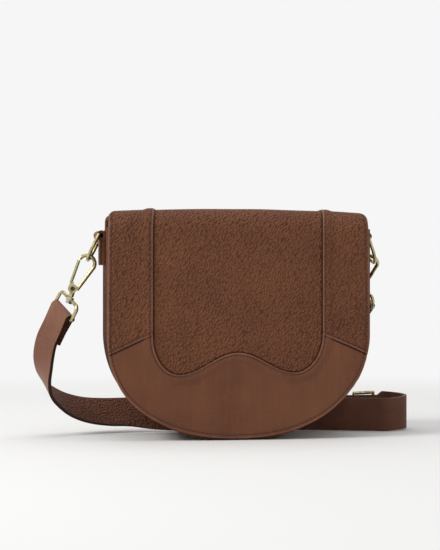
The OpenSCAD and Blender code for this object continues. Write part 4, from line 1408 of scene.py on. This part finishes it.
# %% Curve, fold and ribbon
def curve_between(a, b, c, d, t):
    return (2 * b + (c - a) * t + (2 * a - 5 * b + 4 * c - d) * t * t
            + (3 * b - a - 3 * c + d) * t ** 3) / 2


def smoothed(stations, steps):
    fine, last = [], len(stations) - 1
    for i in range(last):
        near = [stations[max(i - 1, 0)], stations[i], stations[i + 1], stations[min(i + 2, last)]]
        for step in range(steps):
            share = step / steps
            fine.append(tuple(curve_between(*(one[q] for one in near), share) for q in (0, 1)))
    return fine + [stations[last]]


def along_way(stations, i):
    return (stations[min(i + 1, len(stations) - 1)][0] - stations[max(i - 1, 0)][0]).normalized()


def lapped_back(stations, i, gap=0.3):
    along = along_way(stations, i)
    thick = along.cross(across_only(stations[i][1], along))
    return (stations[i][0] + thick * (strap_t + gap), stations[i][1])


def round_the_bar(stations, bar, down, first, last):
    """Adds the fold round a bar before the first station, and the sewn lap behind the strap."""
    wide = stations[0][1]
    out, on = bar_out(wide, down), across_only(down, wide)
    arc = [(bar + out * fold_r * math.cos(a) + on * fold_r * math.sin(a), wide)
           for a in (math.radians(q) for q in range(-180, -9, 10))]
    lap = [lapped_back(stations, i) for i in range(last, first - 1, -1)]
    return lap + arc + stations


fine_steps = 9
lap_first, lap_last = 9, 18
long_line = round_the_bar(smoothed(long_stations, fine_steps), left_bar, left_down, lap_first, lap_last)
short_line = round_the_bar(smoothed(short_stations, fine_steps), right_bar, right_down, lap_first, lap_last)
buckle_bar = Vector((bar_x, bar_y, buckle_mid_h))
short_line = round_the_bar(short_line[::-1], buckle_bar, Vector((-1, 0, 0)), lap_first, lap_last)[::-1]


def widths_along(line, past):
    """The strap's widths: full while past(middle) is 0 or less, and end_w once it has grown to 1."""
    widths = []
    for i, (middle, _) in enumerate(line):
        share = past(middle) if i > len(line) / 2 else 0.0
        widths.append(strap_w - (strap_w - end_w) * min(max(share, 0.0), 1.0))
    return widths


def ribbon(name, line, widths, thick):
    def place(across, i):
        middle, wide = line[i]
        return middle + across_only(wide, along_way(line, i)) * across * widths[i] / strap_w
    half = strap_w / 2
    columns = [-half, -half + 0.9] + even(-half + 3, half - 3, 6) + [half - 0.9, half]
    piece = sheet(name, columns, list(range(len(line))), place)
    for _ in range(3):
        piece.data.materials.append(None)
    modify(piece, "SOLIDIFY", thickness=thick * MM, offset=0.0, material_offset=1, material_offset_rim=2)
    modify(piece, "BEVEL", width=0.7 * MM, segments=3, limit_method="ANGLE", angle_limit=math.radians(60))
    return piece


def line_length(line):
    return sum((b[0] - a[0]).length for a, b in zip(line, line[1:]))


print("strap lengths in mm:", round(line_length(long_line)), round(line_length(short_line)))

# %% The long strap, with its row of holes
def cut_hole(piece, centre, radius, depth):
    """Cuts a round hole along Y with a rod that is deleted afterwards."""
    deselect()
    bpy.ops.mesh.primitive_cylinder_add(vertices=24, radius=radius * MM, depth=depth * MM,
                                        location=Vector(centre) * MM, rotation=(math.radians(90), 0, 0))
    punch = bpy.context.object
    modify(piece, "BOOLEAN", operation="DIFFERENCE", object=punch, solver="EXACT")
    bpy.data.objects.remove(punch)


shoulder = (strap_w - end_w) / 2
loop_wire_r = 1.6
long_end_x = bar_x + buckle_len + loop_wire_r + 0.6


def past_end(middle):
    """Grows past 0 where the long strap nears the buckle, on its way back behind the bag."""
    return (long_end_x + shoulder - middle.x) / shoulder if middle.y > back_run_y - 5 else 0.0


long_widths = widths_along(long_line, past_end)
long_strap = ribbon("strap_long_hide", long_line, long_widths, strap_t - 0.1)
# The tongue rises from 8 to 10.5 mm past the bar, through the middle of its hole
hole_x = bar_x + (8 + 10.5) / 2
for k in (-1, 0, 1, 2):
    cut_hole(long_strap, (hole_x + hole_step * k, back_run_y, buckle_mid_h), 2.2, 8)
give(long_strap, "body", "strap_leather", strap_hide, strap_back, edge_paint_and_seam_shade)
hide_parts("strap_long")

# %% The short strap, with the slot for the tongue
short_end_x = buckle_x - tip_len - 2 * strap_t
short_widths = widths_along(short_line, lambda middle: (middle.x - short_end_x + shoulder) / shoulder)
short_strap = ribbon("strap_short_hide", short_line, short_widths, strap_t - 0.1)
deselect()
bpy.ops.mesh.primitive_cube_add(size=1, location=buckle_bar * MM)
slot_punch = bpy.context.object
bpy.ops.transform.resize(value=(13.6 * MM, 13.6 * MM, 4.4 * MM))
modify(short_strap, "BOOLEAN", operation="DIFFERENCE", object=slot_punch, solver="EXACT")
bpy.data.objects.remove(slot_punch)
give(short_strap, "body", "strap_leather", strap_hide, strap_back, edge_paint_and_seam_shade)
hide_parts("strap_short")

# %% Stitches that close the strap's folds
def fold_stitches(name, line, first, last, width=strap_w):
    """A box of stitches on the strap's face, from station first to station last of its line."""
    def on_face(i, across):
        middle, wide = line[i]
        along = along_way(line, i)
        square = across_only(wide, along)
        return middle + square * across - along.cross(square) * (strap_t / 2 - 0.05)
    near, far = width / 2 - 3, -width / 2 + 3
    box = [on_face(i, near) for i in range(first, last + 1)]
    box += [on_face(last, x) for x in even(near, far, 12)[1:]]
    box += [on_face(i, far) for i in range(last, first - 1, -1)]
    faces = {}
    for i in range(first, last + 1):
        middle, wide = line[i]
        along = along_way(line, i)
        faces[i] = (middle, -along.cross(across_only(wide, along)))

    def outward(where):
        return min(faces.values(), key=lambda pair: (pair[0] - where).length)[1]
    stitch_row(name, box, outward, "body", step=3.8)


# A line's own stations begin after its lap and the 18 points of its fold
lap_count, fold_count = lap_last - lap_first + 1, 18
first = lap_count + fold_count + lap_first
last = lap_count + fold_count + lap_last - 1
fold_stitches("fold_stitches_left", long_line, first, last)
fold_stitches("fold_stitches_buckle", short_line[::-1], first, last, end_w)
fold_stitches("fold_stitches_right", short_line, first, last)

# %% [markdown]
# ## Keepers
# Two leather bands hold the strap's end: one is fixed beside the buckle and one slides. Each is a
# closed band with round corners, made from a sheet whose two ends meet.

# %% Keepers
def keeper_line():
    """The band's section in depth and height, round the two straps and the lap."""
    room, half_hide, corner = 0.3, 0.8, 2.0
    half_h = end_w / 2 + room + half_hide
    y0 = bar_y - strap_t - 2 * room - half_hide
    y1 = back_run_y + strap_t / 2 + room + half_hide
    points = []
    for (y, z, start) in ((y1 - corner, half_h - corner, 0), (y0 + corner, half_h - corner, 90),
                          (y0 + corner, -half_h + corner, 180), (y1 - corner, -half_h + corner, 270)):
        points += [(y + corner * math.cos(math.radians(start + q)),
                    z + corner * math.sin(math.radians(start + q))) for q in range(0, 91, 15)]
    return points + [points[0]]


keeper_points = keeper_line()
for name, back, body in (("keeper_fixed", 16.0, "body"), ("keeper_sliding", 30.0, "keeper")):
    start_x = bar_x - back
    band = sheet(name + "_band", even(start_x, start_x + 8.0, 8), list(range(len(keeper_points))),
                 lambda x, i: (x, keeper_points[i][0], buckle_mid_h + keeper_points[i][1]))
    tidy_mesh(band, turn_out=True)
    modify(band, "SOLIDIFY", thickness=1.5 * MM, offset=0.0, use_even_offset=True)
    modify(band, "BEVEL", width=0.4 * MM, segments=2, limit_method="ANGLE", angle_limit=math.radians(60))
    tidy_mesh(band, turn_out=True)
    give(band, body, "strap_leather", panel_hide)
    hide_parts(name)

# %% [markdown]
# ## Metal pieces
# The rings, hooks, gates, loops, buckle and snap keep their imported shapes. They only get their
# finishes, one for each kind of metal.

# %% Finishes on the metal pieces
metal_pieces = {
    old_brass: ["ring_left", "ring_right", "hook_left", "hook_right", "gate_left", "gate_right",
                "strap_loop_left", "strap_loop_right", "buckle_frame", "buckle_tongue"],
    black_rivet: ["gate_rivet_left", "gate_rivet_right"],
    plain_steel: ["swivel_post_left", "swivel_post_right"],
    snap_metal: ["snap_plug", "snap_socket"],
}
for finish, names in metal_pieces.items():
    for name in names:
        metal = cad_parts[name]
        pick(metal)
        bpy.ops.object.shade_smooth_by_angle(angle=math.radians(32))
        for one_slot in metal.material_slots:
            one_slot.material = finish
    print(finish.name, "on", len(names), "pieces")

# %% [markdown]
# ## Floor, backdrop and light
# The photograph has no horizon: floor and wall are one pale grey. The floor here is matt and takes
# the bag's shadow, and further out it turns into the same pale grey as the world behind it. The
# camera and mirrors see the world pale, but it lights the bag with half that strength. A broad lamp
# stands high on the left, and a weaker one hangs above.

# %% Floor
pale = srgb(246, 246, 246)
deselect()
bpy.ops.mesh.primitive_circle_add(vertices=96, radius=4.0, fill_type="NGON", location=(0, 0, 0))
floor = bpy.context.object
floor.name = "studio_floor"
floor_finish = Finish("studio_floor", Roughness=0.9, Specular_IOR_Level=0.1)
floor_finish.surface.inputs["Base Color"].default_value = srgb(245, 245, 243)
far = floor_finish.node("ShaderNodeVectorMath", {"operation": "LENGTH"}, {0: floor_finish.place()},
                        output=1)
paleness = floor_finish.node("ShaderNodeMapRange", {"interpolation_type": "SMOOTHSTEP"},
                             {"Value": far, "From Min": 0.35, "From Max": 1.1})
glow = floor_finish.node("ShaderNodeEmission", inputs={"Color": pale, "Strength": 1.0})
mix = floor_finish.tree.nodes.new("ShaderNodeMixShader")
floor_finish.tree.links.new(paleness.socket, mix.inputs[0])
floor_finish.tree.links.new(floor_finish.surface.outputs[0], mix.inputs[1])
floor_finish.tree.links.new(glow.socket, mix.inputs[2])
out_node = floor_finish.tree.nodes["Material Output"]
floor_finish.tree.links.new(mix.outputs[0], out_node.inputs["Surface"])
floor.data.materials.append(floor_finish.material)

# %% World and lamps
world = bpy.data.worlds.new("studio")
bpy.context.scene.world = world
world.use_nodes = True
tree = world.node_tree
backdrop = tree.nodes["Background"]
backdrop.inputs["Color"].default_value = pale
backdrop.inputs["Strength"].default_value = 0.50
seen = tree.nodes.new("ShaderNodeBackground")
seen.inputs["Color"].default_value = pale
ray = tree.nodes.new("ShaderNodeLightPath")
seen_or_mirrored = tree.nodes.new("ShaderNodeMath")
seen_or_mirrored.operation = "MAXIMUM"
through = tree.nodes.new("ShaderNodeMath")
through.operation = "MAXIMUM"
join = tree.nodes.new("ShaderNodeMixShader")
for start, end in (
        (ray.outputs["Is Camera Ray"], seen_or_mirrored.inputs[0]),
        (ray.outputs["Is Glossy Ray"], seen_or_mirrored.inputs[1]),
        (seen_or_mirrored.outputs[0], through.inputs[0]),
        (ray.outputs["Is Transmission Ray"], through.inputs[1]),
        (through.outputs[0], join.inputs[0]),
        (backdrop.outputs[0], join.inputs[1]),
        (seen.outputs[0], join.inputs[2]),
        (join.outputs[0], tree.nodes["World Output"].inputs["Surface"])):
    tree.links.new(start, end)


def lamp(name, place, target, size, power):
    deselect()
    aim = (Vector(target) - Vector(place)).to_track_quat("-Z", "Y").to_euler()
    bpy.ops.object.light_add(type="AREA", location=place, rotation=aim)
    light = bpy.context.object
    light.name = name
    light.data.size = size
    light.data.energy = power
    print(name, power, "W")


lamp("key_left", (-1.6, -0.75, 1.5), (0, 0, 0.1), 0.9, 25)
lamp("top_soft", (0.1, 0.2, 1.9), (0, 0, 0), 1.6, 11)

# %% Clear away the spare stitch
bpy.data.objects.remove(one_stitch)
